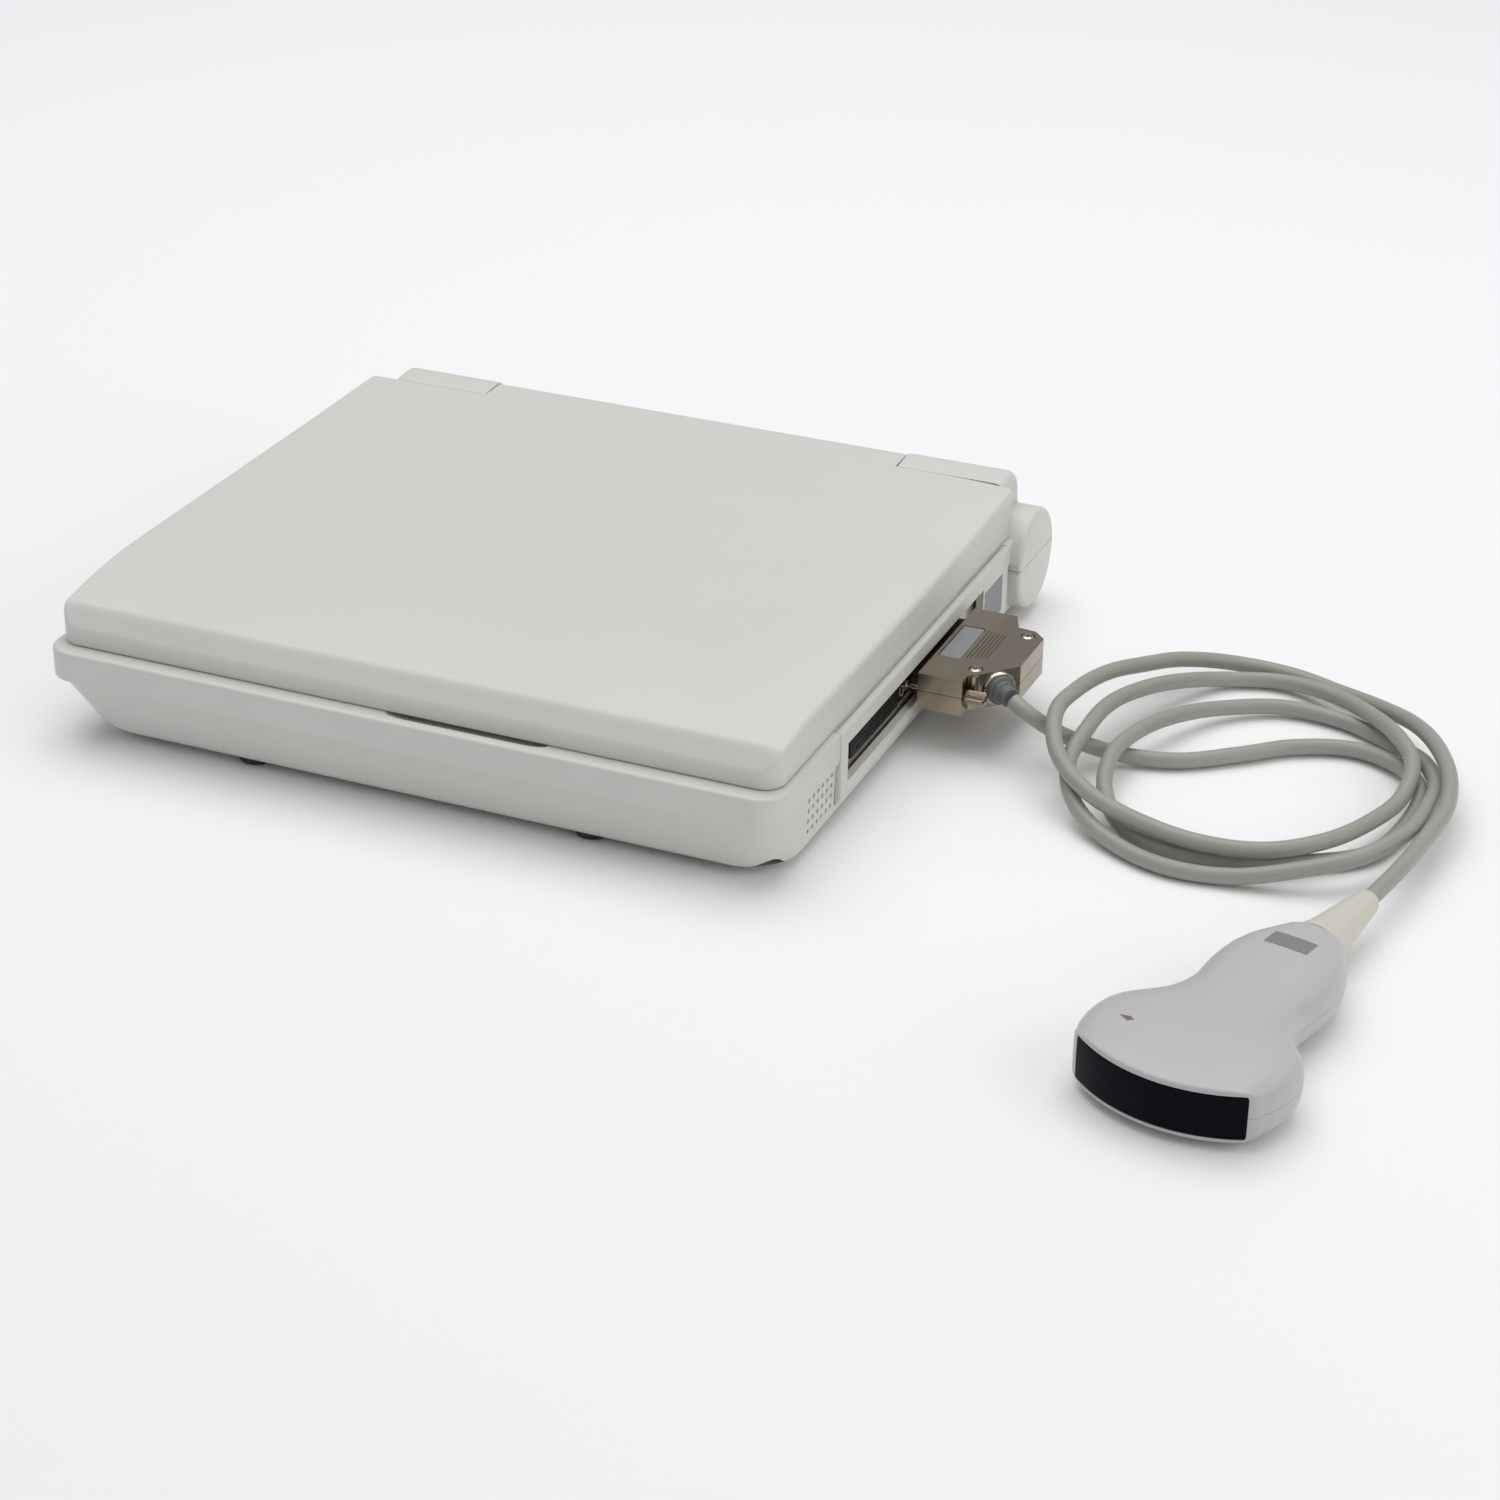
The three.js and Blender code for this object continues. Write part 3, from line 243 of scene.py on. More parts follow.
def solid(name, loops):
    """A closed mesh object in metres from loops in millimetres."""
    points, faces = skin(loops)
    mesh = bpy.data.meshes.new(name)
    mesh.from_pydata([tuple(c * MM for c in point) for point in points], [], faces)
    work = bmesh.new()
    work.from_mesh(mesh)
    bmesh.ops.remove_doubles(work, verts=work.verts, dist=1e-7)
    bmesh.ops.dissolve_degenerate(work, edges=work.edges, dist=1e-7)
    bmesh.ops.recalc_face_normals(work, faces=work.faces)
    work.to_mesh(mesh)
    work.free()
    piece = bpy.data.objects.new(name, mesh)
    bpy.context.scene.collection.objects.link(piece)
    return piece


def settle(piece):
    """Applies the piece's modifiers to its mesh."""
    graph = bpy.context.evaluated_depsgraph_get()
    mesh = bpy.data.meshes.new_from_object(piece.evaluated_get(graph))
    piece.modifiers.clear()
    piece.data = mesh
    return piece


def combine(piece, others, operation):
    for other in others:
        step = piece.modifiers.new("boolean", "BOOLEAN")
        step.operation = operation
        step.solver = "EXACT"
        step.object = other
        settle(piece)
        bpy.data.objects.remove(other)
    return piece


def cut(piece, *cutters):
    return combine(piece, cutters, "DIFFERENCE")


def join(piece, *others):
    return combine(piece, others, "UNION")


def soften(piece, width, segments=2, angle=30):
    """Rounds the piece's sharp edges by width millimetres."""
    step = piece.modifiers.new("bevel", "BEVEL")
    step.width = width * MM
    step.segments = segments
    step.limit_method = "ANGLE"
    step.angle_limit = math.radians(angle)
    step.use_clamp_overlap = True
    return settle(piece)


def finished(piece, body, material, sharp=32, weighted=True):
    """Shades the piece, paints it and rides it on its body."""
    piece.data.shade_smooth()
    piece.data.set_sharp_from_angle(angle=math.radians(sharp))
    piece.data.materials.clear()
    piece.data.materials.append(material)
    if weighted:
        step = piece.modifiers.new("weighted", "WEIGHTED_NORMAL")
        step.keep_sharp = True
        step.weight = 80
    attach(piece, body)
    return piece


def block(x0, x1, y0, y1, z0, z1):
    loop = [(x0, y0), (x1, y0), (x1, y1), (x0, y1)]
    return solid("block", [[(x, y, z) for x, y in loop] for z in (z0, z1)])


def prism_z(outline, z0, z1, name="prism"):
    return solid(name, [[(x, y, z) for x, y in outline] for z in (z0, z1)])


def prism_y(outline, y0, y1, name="prism"):
    """outline is (x, z)."""
    return solid(name, [[(x, y, z) for x, z in outline] for y in (y0, y1)])


def rounded(x0, x1, y0, y1, radius, steps=6):
    """A rectangle with round corners, as points; radius is one number or front and rear ones."""
    front, rear = radius if isinstance(radius, tuple) else (radius, radius)
    corners = [
        (x1 - front, y0 + front, front, -90),
        (x1 - rear, y1 - rear, rear, 0),
        (x0 + rear, y1 - rear, rear, 90),
        (x0 + front, y0 + front, front, 180),
    ]
    outline = []
    for x, y, r, start in corners:
        for i in range(steps + 1):
            angle = math.radians(start + 90 * i / steps)
            outline.append((x + r * math.cos(angle), y + r * math.sin(angle)))
    return outline


def turned(name, at, along, profile, sides=48, ribs=0, rib_depth=0.0):
    """A turned piece from (distance along the axis, radius) pairs. ribs makes a knurl."""
    axis = Vector(along).normalized()
    across = axis.orthogonal().normalized()
    third = axis.cross(across)
    origin = Vector(at)
    loops = []
    for distance, radius in profile:
        loop = []
        for i in range(sides):
            angle = 2 * math.pi * i / sides
            wave = rib_depth * (0.5 + 0.5 * math.cos(angle * ribs)) if ribs else 0
            reach = max(radius - wave, 0.001)
            spoke = across * math.cos(angle) + third * math.sin(angle)
            loop.append(tuple(origin + axis * distance + spoke * reach))
        loops.append(loop)
    return solid(name, loops)


def bar(axis, a, b, radius, start, end, sides=32):
    """A round bar along x, y or z; a and b are the two other coordinates."""
    at = {"x": (start, a, b), "y": (a, start, b), "z": (a, b, start)}[axis]
    along = {"x": (1, 0, 0), "y": (0, 1, 0), "z": (0, 0, 1)}[axis]
    return turned("bar", at, along, [(0, radius), (end - start, radius)], sides)


def arc(cx, cy, radius, start, end, steps):
    """Points on an arc; angles in degrees, both ends included."""
    points = []
    for i in range(steps + 1):
        angle = math.radians(start + (end - start) * i / steps)
        points.append((cx + radius * math.cos(angle), cy + radius * math.sin(angle)))
    return points


def bezier(a, control, b, steps):
    """Points on a quadratic curve, without its first point."""
    points = []
    for i in range(1, steps + 1):
        t = i / steps
        u = 1 - t
        x = u * u * a[0] + 2 * u * t * control[0] + t * t * b[0]
        y = u * u * a[1] + 2 * u * t * control[1] + t * t * b[1]
        points.append((x, y))
    return points


def quarter(steps):
    """(inset, drop) pairs of a unit quarter round, from the flat top to the upright side."""
    pairs = []
    for i in range(steps + 1):
        angle = math.pi / 2 * i / steps
        pairs.append((1 - math.sin(angle), 1 - math.cos(angle)))
    return pairs


# ---------- cable ----------
CABLE_ROUTE = [
    # down from the plug and over the table to the right
    (208, -7, 27), (215, -10, 24.5), (228, -7, 16.5), (250, 5, 6), (274, 13, 4), (296, 29, 4),
    (315, 45, 4), (339, 53, 4), (362, 42, 5), (374, 19, 6.5), (373, -7, 4), (366, -32, 4),
    (347, -48, 4),
    # first turn
    (322, -57, 4), (296, -62, 4), (272, -53, 4.5), (257, -33, 8.5), (252, -8, 12.5),
    (256, 18, 12.5), (265, 43, 9.5), (279, 64, 6), (301, 78, 4.5), (327, 77, 4), (351, 65, 4),
    (369, 47, 7.5), (379, 23, 10.5), (381, -3, 13), (379, -29, 14.5), (367, -52, 13),
    (345, -66, 9), (321, -73, 4.5),
    # second turn
    (295, -75, 4), (270, -65, 4.5), (250, -49, 8), (239, -27, 14), (239, -1, 19), (240, 25, 18),
    (246, 50, 14.5), (256, 74, 9.5), (271, 94, 4.5), (295, 102, 4.5), (319, 92, 7.5),
    (338, 75, 11), (355, 54, 14), (367, 32, 14), (369, 6, 11), (362, -19, 10.5), (350, -42, 11),
    (330, -59, 11),
    # third turn, then forwards to the probe
    (305, -64, 11.5), (279, -59, 12.5), (255, -49, 15), (236, -32, 20.5), (227, -9, 26.5),
    (228, 17, 26), (233, 43, 23), (241, 67, 17.5), (252, 90, 12), (270, 108, 6), (296, 111, 4),
    (320, 102, 4.5), (341, 87, 8.5), (359, 69, 13), (373, 47, 16.5), (384, 23, 16.5),
    (389, -3, 15.5), (387, -29, 14.5), (384, -55, 14.5), (378.4, -84.9, 14), (377.5, -89.3, 14),
]


def smooth_route(route, steps):
    """A centripetal Catmull-Rom curve through the route's points."""
    points = [Vector(point) for point in route]
    points = [points[0] * 2 - points[1], *points, points[-1] * 2 - points[-2]]
    line = []
    for p0, p1, p2, p3 in zip(points, points[1:], points[2:], points[3:]):
        d0, d1, d2 = [(b - a).length ** 0.5 for a, b in ((p0, p1), (p1, p2), (p2, p3))]
        t1 = ((p1 - p0) / d0 - (p2 - p0) / (d0 + d1) + (p2 - p1) / d1) * d1
        t2 = ((p2 - p1) / d1 - (p3 - p1) / (d1 + d2) + (p3 - p2) / d2) * d1
        for i in range(steps):
            t = i / steps
            bend = (t1 * 1 + t2 + 2 * (p1 - p2)) * t**3 + (3 * (p2 - p1) - 2 * t1 - t2) * t**2
            line.append(p1 + t1 * t + bend)
    return [*line, points[-2]]


def make_cable():
    data = bpy.data.curves.new("cable", "CURVE")
    data.dimensions = "3D"
    data.bevel_depth = CABLE_R * MM
    data.bevel_resolution = 6
    data.use_fill_caps = True
    line = smooth_route(CABLE_ROUTE, 8)
    spline = data.splines.new("POLY")
    spline.points.add(len(line) - 1)
    for knot, point in zip(spline.points, line):
        knot.co = (*(point * MM), 1)
    spline.use_smooth = True
    cable = bpy.data.objects.new("cable", data)
    bpy.context.scene.collection.objects.link(cable)
    data.materials.append(CABLE)
    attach(cable, "plug")
    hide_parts("probe_cable")


make_cable()


# ---------- lid ----------
LID_CORNER = {"front": 9, "rear": 3}
# How much of the flat front facet an edge has, and its plain rounding.
EDGE = {
    "front": (1.0, 0.0),
    "right": (0.0, 2.0),
    "left": (0.0, 1.7),
    "rear": (0.0, 0.35),
    "knuckle": (0.0, 0.0),
}
CROWN_FRONT, CROWN_FRONT_REACH = 7.4, 73
CROWN_SIDE = {1: 4.4, -1: 0.6}
CROWN_SIDE_REACH = 42
UNDERCUT_R = 15.9
RIM = 9


def lid_crown(x, y):
    """How far the lid's top has sunk below its flat middle, away from the rounded rim."""
    front = CROWN_FRONT * max(0, 1 - (y - LID_FRONT) / CROWN_FRONT_REACH) ** 2
    fade = min(1, max(0, (y - 60) / (LID_REAR - 60)))
    fade = 1 - 0.75 * fade * fade * (3 - 2 * fade)
    side = CROWN_SIDE[1 if x > 0 else -1] * fade * max(0, 1 - (LID_X - abs(x)) / CROWN_SIDE_REACH) ** 2
    return (front**3 + side**3) ** (1 / 3)


def lid_columns():
    """Columns round the lid's plan: a function from inset to (x, y), the edge, and whether knuckle."""
    columns = []

    def straight(a, b, steps, inward, edge, corners=(99, 99)):
        along = (Vector(b) - Vector(a)).normalized()
        for i in range(steps + 1):

            def place(inset, t=i / steps):
                start = Vector(a) + along * max(0, inset - corners[0])
                end = Vector(b) - along * max(0, inset - corners[1])
                return tuple(start + (end - start) * t + Vector(inward) * inset)

            columns.append((place, EDGE[edge], edge == "knuckle"))

    def corner(sx, sy, start, from_edge, to_edge):
        r = LID_CORNER["front" if sy < 0 else "rear"]
        cx = sx * (LID_X - r)
        cy = LID_FRONT + r if sy < 0 else LID_REAR - r
        steps = 12
        for i in range(1, steps):
            t = i / steps
            angle = math.radians(start + 90 * t)
            blend = t * t * (3 - 2 * t)
            edge = [a + (b - a) * blend for a, b in zip(EDGE[from_edge], EDGE[to_edge])]

            def place(inset, out=(math.cos(angle), math.sin(angle))):
                left_over, past = max(r - inset, 0), max(inset - r, 0)
                return cx + out[0] * left_over - sx * past, cy + out[1] * left_over - sy * past

            columns.append((place, tuple(edge), False))

    right, left = LID_X, -LID_X
    front, rear = LID_FRONT, LID_REAR
    r, q = LID_CORNER["front"], LID_CORNER["rear"]
    straight((left + r, front), (right - r, front), 40, (0, 1), "front", (r, r))
    corner(1, -1, -90, "front", "right")
    straight((right, front + r), (right, rear - q), 30, (-1, 0), "right", (r, q))
    corner(1, 1, 0, "right", "rear")
    straight((right - q, rear), (KNUCKLE[1], rear), 8, (0, -1), "rear", (q, 99))
    straight((KNUCKLE[1], rear), (KNUCKLE[0], rear), 16, (0, -1), "knuckle")
    straight((KNUCKLE[0], rear), (left + q, rear), 8, (0, -1), "rear", (99, q))
    corner(-1, 1, 90, "rear", "left")
    straight((left, rear - q), (left, front + r), 30, (1, 0), "left", (q, r))
    corner(-1, -1, 180, "left", "front")
    return columns


def facet_drop(distance):
    """The flat sloping facet along the lid's front, softly rounded at both ends."""
    foot, run, slope = 1.0, 5.2, 1.09
    end = 1.92
    fade_out = run + 2 * end / slope
    if distance >= fade_out:
        return 0.0
    if distance >= run:
        return end * ((fade_out - distance) / (fade_out - run)) ** 2
    drop = end + slope * (run - distance)
    if distance < foot:
        drop += 1 - math.sqrt(1 - (foot - distance) ** 2)
    return drop


def rim_drop(distance, edge):
    facet, radius = edge
    drop = facet * facet_drop(distance)
    if distance < radius:
        reach = 1 - distance / radius
        drop += radius * (1 - math.sqrt(max(0.0, 1 - reach * reach)))
    return drop


def lid_rear_limit(y, z):
    """The lid's rear edge is hollowed round the fixed hinge humps."""
    lift = z - HINGE_Z
    if abs(lift) >= UNDERCUT_R:
        return y
    return min(y, HINGE_Y - math.sqrt(UNDERCUT_R**2 - lift**2))


WALL_LEVELS = 40


def knuckle_path():
    """(y, z) down the knuckle: over its flat top, round it, and back under to the lid's wall."""
    top = [(LID_REAR + (HINGE_Y - LID_REAR) * i / 4, LID_TOP) for i in range(4)]
    round_part = arc(HINGE_Y, HINGE_Z, KNUCKLE_R, 90, -151.4, 27)
    back = round_part[-1]
    under = [(back[0] + (LID_REAR - back[0]) * i / 3, back[1]) for i in (1, 2, 3)]
    rest = WALL_LEVELS - len(top) - len(round_part) - len(under)
    foot = LID_Z + 0.6
    down = [(LID_REAR, back[1] + (foot - back[1]) * i / rest) for i in range(1, rest + 1)]
    return [*top, *round_part, *under, *down]


def lid_mesh():
    columns = lid_columns()
    centre = (0, (LID_FRONT + LID_REAR) / 2)
    loops = []
    for shrink in (0.62, 0.54, 0.46, 0.39, 0.33, 0.27, 0.22, 0.17, 0.13, 0.09, 0.06, 0.035, 0.015):
        loop = []
        for place, _, _ in columns:
            x, y = place(RIM)
            x += (centre[0] - x) * shrink
            y += (centre[1] - y) * shrink
            loop.append((x, y, LID_TOP - lid_crown(x, y)))
        loops.append(loop)
    insets = [RIM, 8.2, 7.5, 6.8, 6, 5.2, 4.4, 3.7, 3, 2.4, 2, 1.7, 1.4, 1.1]
    insets += [0.8, 0.55, 0.35, 0.2, 0.1, 0.03, 0]
    for inset in insets:
        loop = []
        for place, edge, knuckle in columns:
            x, y = place(inset)
            z = LID_TOP - lid_crown(x, y) - rim_drop(inset, edge)
            if not knuckle:
                y = lid_rear_limit(y, z)
            loop.append((x, y, z))
        loops.append(loop)
    edge_loop = loops[-1]
    path = knuckle_path()
    foot = LID_Z + 0.6
    for level in range(WALL_LEVELS):
        loop = []
        for (place, _, knuckle), (x, y, z) in zip(columns, edge_loop):
            if knuckle:
                loop.append((x, *path[level]))
            else:
                height = z + (foot - z) * (level + 1) / WALL_LEVELS
                loop.append((x, lid_rear_limit(place(0)[1], height), height))
        loops.append(loop)
    inner = [
        (0.18, LID_Z + 0.18), (0.6, LID_Z), (1.9, LID_Z), (2.3, LID_Z + 0.4),
        (2.3, 47.8), (8.6, 47.8), (8.6, 56.6),
    ]
    for inset, z in inner:
        loops.append([(*place(inset), z) for place, _, _ in columns])
    return solid("lid", loops)


def make_lid():
    lid = lid_mesh()
    finished(lid, "lid", CASE, 40, weighted=False)
    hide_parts("lid_cover")


make_lid()


# ---------- base shells ----------
def rear_at(z):
    """How far back the round rear reaches at a height."""
    if z < REAR_Z - REAR_R:
        return 130 + (REAR_Y - 130) * (z - UNDERSIDE_Z) / (REAR_Z - REAR_R - UNDERSIDE_Z)
    return REAR_Y + math.sqrt(max(0.0, REAR_R**2 - (z - REAR_Z) ** 2))


def foot_round(z, radius):
    """Inset of the rounded lower edge."""
    lift = radius - (z - UNDERSIDE_Z)
    if lift <= 0:
        return 0.0
    return radius - math.sqrt(max(0.0, radius**2 - lift**2))


def tub_loop(z, inset=0.0):
    """The lower case at a height: its front and left lean out upwards."""
    front = -148.3 - (z - 7.5) * 0.305 + foot_round(z, 6.5) + inset
    left = -153.6 - (z - 9) * 0.424 + foot_round(z, 3.8) + inset
    right = 162.4 + (z - 9) * 0.03 - foot_round(z, 4.2) - inset
    corner = BELT_CORNER + TUB_CORNER_GROWTH * (PARTING_Z - z) / (PARTING_Z - UNDERSIDE_Z)
    outline = rounded(left, right, front, rear_at(z) - inset, (corner, 1.5), 12)
    return [(x, y, z) for x, y in outline]


def belt_loop(z, inset=0.0):
    """The upright belt of the upper case at a height."""
    side, front, rear = BAND_X - inset, FRONT_Y + inset, rear_at(z) - min(inset, 0.4)
    outline = rounded(-side, side, front, rear, (BELT_CORNER - inset, 1.5), 12)
    return [(x, y, z) for x, y in outline]


def boss(side, low, high):
    """The round boss at one end of the rear, cut to its part between two heights."""
    profile = [(BOSS_IN, REAR_R)]
    profile += [(BOSS_X - BOSS_RIM * inset, REAR_R - BOSS_RIM * drop) for inset, drop in quarter(8)]
    profile += [(BOSS_X, 18), (BOSS_X, 6)]
    disc = turned("boss", (0, REAR_Y, REAR_Z), (side, 0, 0), profile, 96)
    for z0, z1 in ((-20, low), (high, 80)):
        if z1 > 3 and z0 < 51:
            cut(disc, block(-200, 200, 90, 180, z0, z1))
    return disc


def hump_section(inset):
    """(y, z) of a fixed hinge hump, drawn in by inset."""
    top = LID_TOP - 0.1 - inset
    front = RISER_Y - 0.3
    start = (front + 0.35, top)
    crest = (HINGE_Y, HINGE_Z + HUMP_R - inset)
    radius = HUMP_R - inset
    section = [(front, 40), (front, top - 0.35), (front + 0.1, top - 0.1), start]
    section += bezier(start, (129, crest[1]), crest, 8)
    section += arc(HINGE_Y, HINGE_Z, radius, 80, 0, 14)
    rear = (HINGE_Y + radius, HINGE_Z)
    section += bezier(rear, (rear[0] + 0.6, 49), (149.5 - inset, 42), 8)
    section += [(146 - inset, 38)]
    return section


def hump(start, end, start_round, end_round):
    """A hump between two x positions, each end rounded by its own radius."""
    stations = [(start + start_round * drop, start_round * inset) for inset, drop in quarter(8)]
    stations += [(end - end_round * drop, end_round * inset) for inset, drop in reversed(quarter(8))]
    return solid("hump", [[(x, y, z) for y, z in hump_section(inset)] for x, inset in stations])


def rear_crown():
    """The raised rear of the upper shell, with the trough in which the lid's knuckle turns."""
    tail = [(rear_at(42), 42), (rear_at(42) - 0.6, 40.8)]
    plain = [(RISER_Y, 40.8), (RISER_Y, 47.5), *arc(REAR_Y, REAR_Z, REAR_R, 113, 41.5, 20), *tail]
    crown = solid("crown", [[(x, y, z) for y, z in plain] for x in (-162, 162)])
    trough = bar("x", HINGE_Y, HINGE_Z, KNUCKLE_R + 0.8, HUMPS[0][1], HUMPS[1][0], 64)
    step = block(HUMPS[0][1], HUMPS[1][0], 119, HINGE_Y, 44.8, 70)
    return cut(crown, trough, step)


def room(z0, z1, x0, x1, y0, y1):
    return prism_z(rounded(x0, x1, y0, y1, 8), z0, z1, "room")


def port_cutters():
    """The pocket that takes the port frame and the opening behind it."""
    return [
        block(FRAME_X - 3.6, 178, -91.2, 108.2, 9.3, 43),
        block(148, 178, PORT_Y[0] - 5.7, PORT_Y[1] + 5, 12, 38),
    ]


def finger_scoop():
    """The shallow hollow under the lid's front edge, with soft ends."""
    lip, back, above = 42.05, -140, 42.4
    flat = 0.7
    loops = []
    for across in (-1, -0.97, -0.93, -0.87, -0.79, -0.7, 0.7, 0.79, 0.87, 0.93, 0.97, 1):
        depth = math.sqrt(max(0.0, 1 - max(0, (abs(across) - flat) / (1 - flat)) ** 2))
        depth = 0.12 + 0.88 * depth
        front = LID_FRONT - 0.2 - 3.3 * depth
        section = [(front, above)]
        section += [(front + run * depth, lip - fall * depth) for run, fall in ((1.1, 1.1), (2.2, 1.9))]
        section += [(front + 3.6 * depth, lip - 2.25 * depth), (back, lip - 2.25 * depth), (back, above)]
        loops.append([(SCOOP_X + SCOOP_HALF * across, y, z) for y, z in section])
    return solid("scoop", loops)


def shared_cutters():
    """What both halves of the case leave open: sockets, lock slot and rear connector panel."""
    return [*port_cutters(), block(*LOCK_SLOT), block(*REAR_PANEL)]


def make_top_case():
    levels = [(PARTING_Z + SEAM, 0.45), (PARTING_Z + SEAM + 0.15, 0.13), (PARTING_Z + SEAM + 0.45, 0)]
    levels += [(32, 0), (35, 0), (37, 0)]
    levels += [(DECK_Z - BELT_EDGE * drop, BELT_EDGE * inset) for inset, drop in reversed(quarter(9))]
    shell = solid("top_case_shell", [belt_loop(z, inset) for z, inset in levels])
    join(shell, rear_crown())
    join(shell, hump(*HUMPS[0], 4.5, 0.8), hump(*HUMPS[1], 0.8, 4.5))
    join(shell, *[boss(side, PARTING_Z + SEAM, 80) for side in (-1, 1)])
    cut(shell, room(20, 38.8, -161, 160.5, -153, 149.4))
    cut(shell, finger_scoop(), *shared_cutters())
    cut(shell, prism_z(rounded(-142, 142, -116, 100, 6), 41, 60))
    cut(shell, block(*KEY_WELL))
    rounds = [(x, y, r + 0.4, 30) for _, x, y, r in KEYS]
    rounds += [(*TRACKBALL, 17.4, 40.2), (*TRACKBALL, 13.4, 30), (KNOB[0], KNOB[1], KNOB[2] + 0.5, 40)]
    rounds += [(KNOB[0], KNOB[1], 3.4, 30)]
    cut(shell, *[bar("z", x, y, r, z, 60, 48) for x, y, r, z in rounds])
    finished(shell, "console", CASE)
    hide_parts("top_case")


def make_bottom_case():
    heights = [3, 3.05, 3.2, 3.5, 4.01, 4.06, 4.2, 4.45, 4.8, 5.3, 6, 6.8, 7.5, 9, 10.5, 12.5, 15]
    heights += [17.5, 20, 22.5, 25, 27.5]
    top = PARTING_Z - SEAM
    loops = [tub_loop(z) for z in heights]
    loops += [tub_loop(top - 0.4), tub_loop(top - 0.12, 0.12), tub_loop(top, 0.4)]
    shell = solid("bottom_case_shell", loops)
    join(shell, *[boss(side, -20, top) for side in (-1, 1)])
    cut(shell, room(5.5, 40, -151, 159.6, -145, 149))
    cut(shell, *shared_cutters())
    holes = []
    for column in range(6):
        for row in range(4):
            y, z = [at + n * pitch for at, n, pitch in zip(GRILLE_AT, (column, row), GRILLE_PITCH)]
            holes.append(bar("x", y, z, GRILLE_HOLE_R, 155, 168, 16))
    cut(shell, *holes)
    cut(shell, *[block(-170, -148, 34 + i * 6, 37 + i * 6, 12, 26) for i in range(6)])
    cut(shell, *[bar("z", x, y, FOOT_WELL_R, 0, 4.6, 48) for _, x, y in FEET])
    cut(shell, block(*BATTERY_SEAT))
    finished(shell, "console", CASE)
    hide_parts("bottom_case")


make_top_case()
make_bottom_case()


# ---------- port frame ----------
def make_port_frame():
    outline = [(FRAME_X - 3.3, 10.1), (FRAME_X - 2.3, 9.6)]
    outline += bezier((FRAME_X - 2.3, 9.6), (FRAME_X, 10.2), (FRAME_X, 14.4), 8)
    outline += [(FRAME_X, 40.4)]
    outline += arc(FRAME_X - 1.5, 40.48, 1.5, 0, 90, 8)
    outline += [(FRAME_X - 3.5, 41.98), (FRAME_X - 3.5, 30)]
    panel = prism_y(outline, -91, 108, "port_frame_shell")
    soften(panel, 1.0, 3, 50)
    cut(panel, block(155, 178, *PORT_Y, *PORT_Z))
    cut(panel, block(*PLATE_SEAT))
    cut(panel, block(150, FRAME_X - 3.4, -90, 107, 9, 60))
    soften(panel, 0.3, 2, 50)
    finished(panel, "console", CASE)
    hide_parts("port_frame")


make_port_frame()


# ---------- plug ----------
HOOD_OUTLINE = [
    (168.3, PLUG_Y - DSUB_LENGTH / 2), (187.8, PLUG_Y - DSUB_LENGTH / 2), (188.2, -7.4), (191.6, -5.8),
    (205.1, 9.3), (205.3, 38.3), (199.9, 43.8), (191.9, 44.6), (187.7, PLUG_Y + DSUB_LENGTH / 2),
    (168.3, PLUG_Y + DSUB_LENGTH / 2),
]
LABEL_BOX = (169.8, 179.8, 5.5, 37.3)
HOOD_SCREWS = [("hood_screw_front", 188.9, -0.7), ("hood_screw_rear", 198.4, 38)]
GLAND = (198.3, 1.7, PLUG_Z)
GLAND_AXIS = (0.745, -0.667, 0)
HOOD_TOP = PLUG_Z + HOOD_H / 2


def hood_half(upper):
    z0, z1 = (PLUG_Z + 0.12, HOOD_TOP) if upper else (PLUG_Z - HOOD_H / 2, PLUG_Z - 0.12)
    half = prism_z(HOOD_OUTLINE, z0, z1, "plug_hood_top" if upper else "plug_hood_bottom")
    for side in (-1, 1):
        y = PLUG_Y + side * DSUB_SCREW
        cut(half, bar("x", y, PLUG_Z, 3.5, 188.1, 215, 40), bar("x", y, PLUG_Z, 1.9, 160, 200, 16))
    cut(half, turned("bore", GLAND, GLAND_AXIS, [(-9, 4.9), (5, 4.9)], 32))
    if upper:
        label = rounded(*LABEL_BOX, 1.5, 5)
        cut(half, prism_z(label, HOOD_TOP - 0.7, 60))
        cut(half, *[bar("z", x, y, 3.05, HOOD_TOP - 1.4, 60, 32) for _, x, y in HOOD_SCREWS])
        grooves = []
        for i in range(6):
            x = 181.5 + 1.6 * i
            grooves.append(block(x, x + 0.45, 7 + 0.6 * i, 36 - 0.3 * i, HOOD_TOP - 0.35, 60))
        cut(half, *grooves)
        join(half, bar("z", 190.2, -6.4, 1.8, z0, z1 - 0.4, 32))
    soften(half, 0.35, 2, 40)
    finished(half, "plug", NICKEL, 28)
    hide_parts("plug_hood_upper" if upper else "plug_hood_lower")


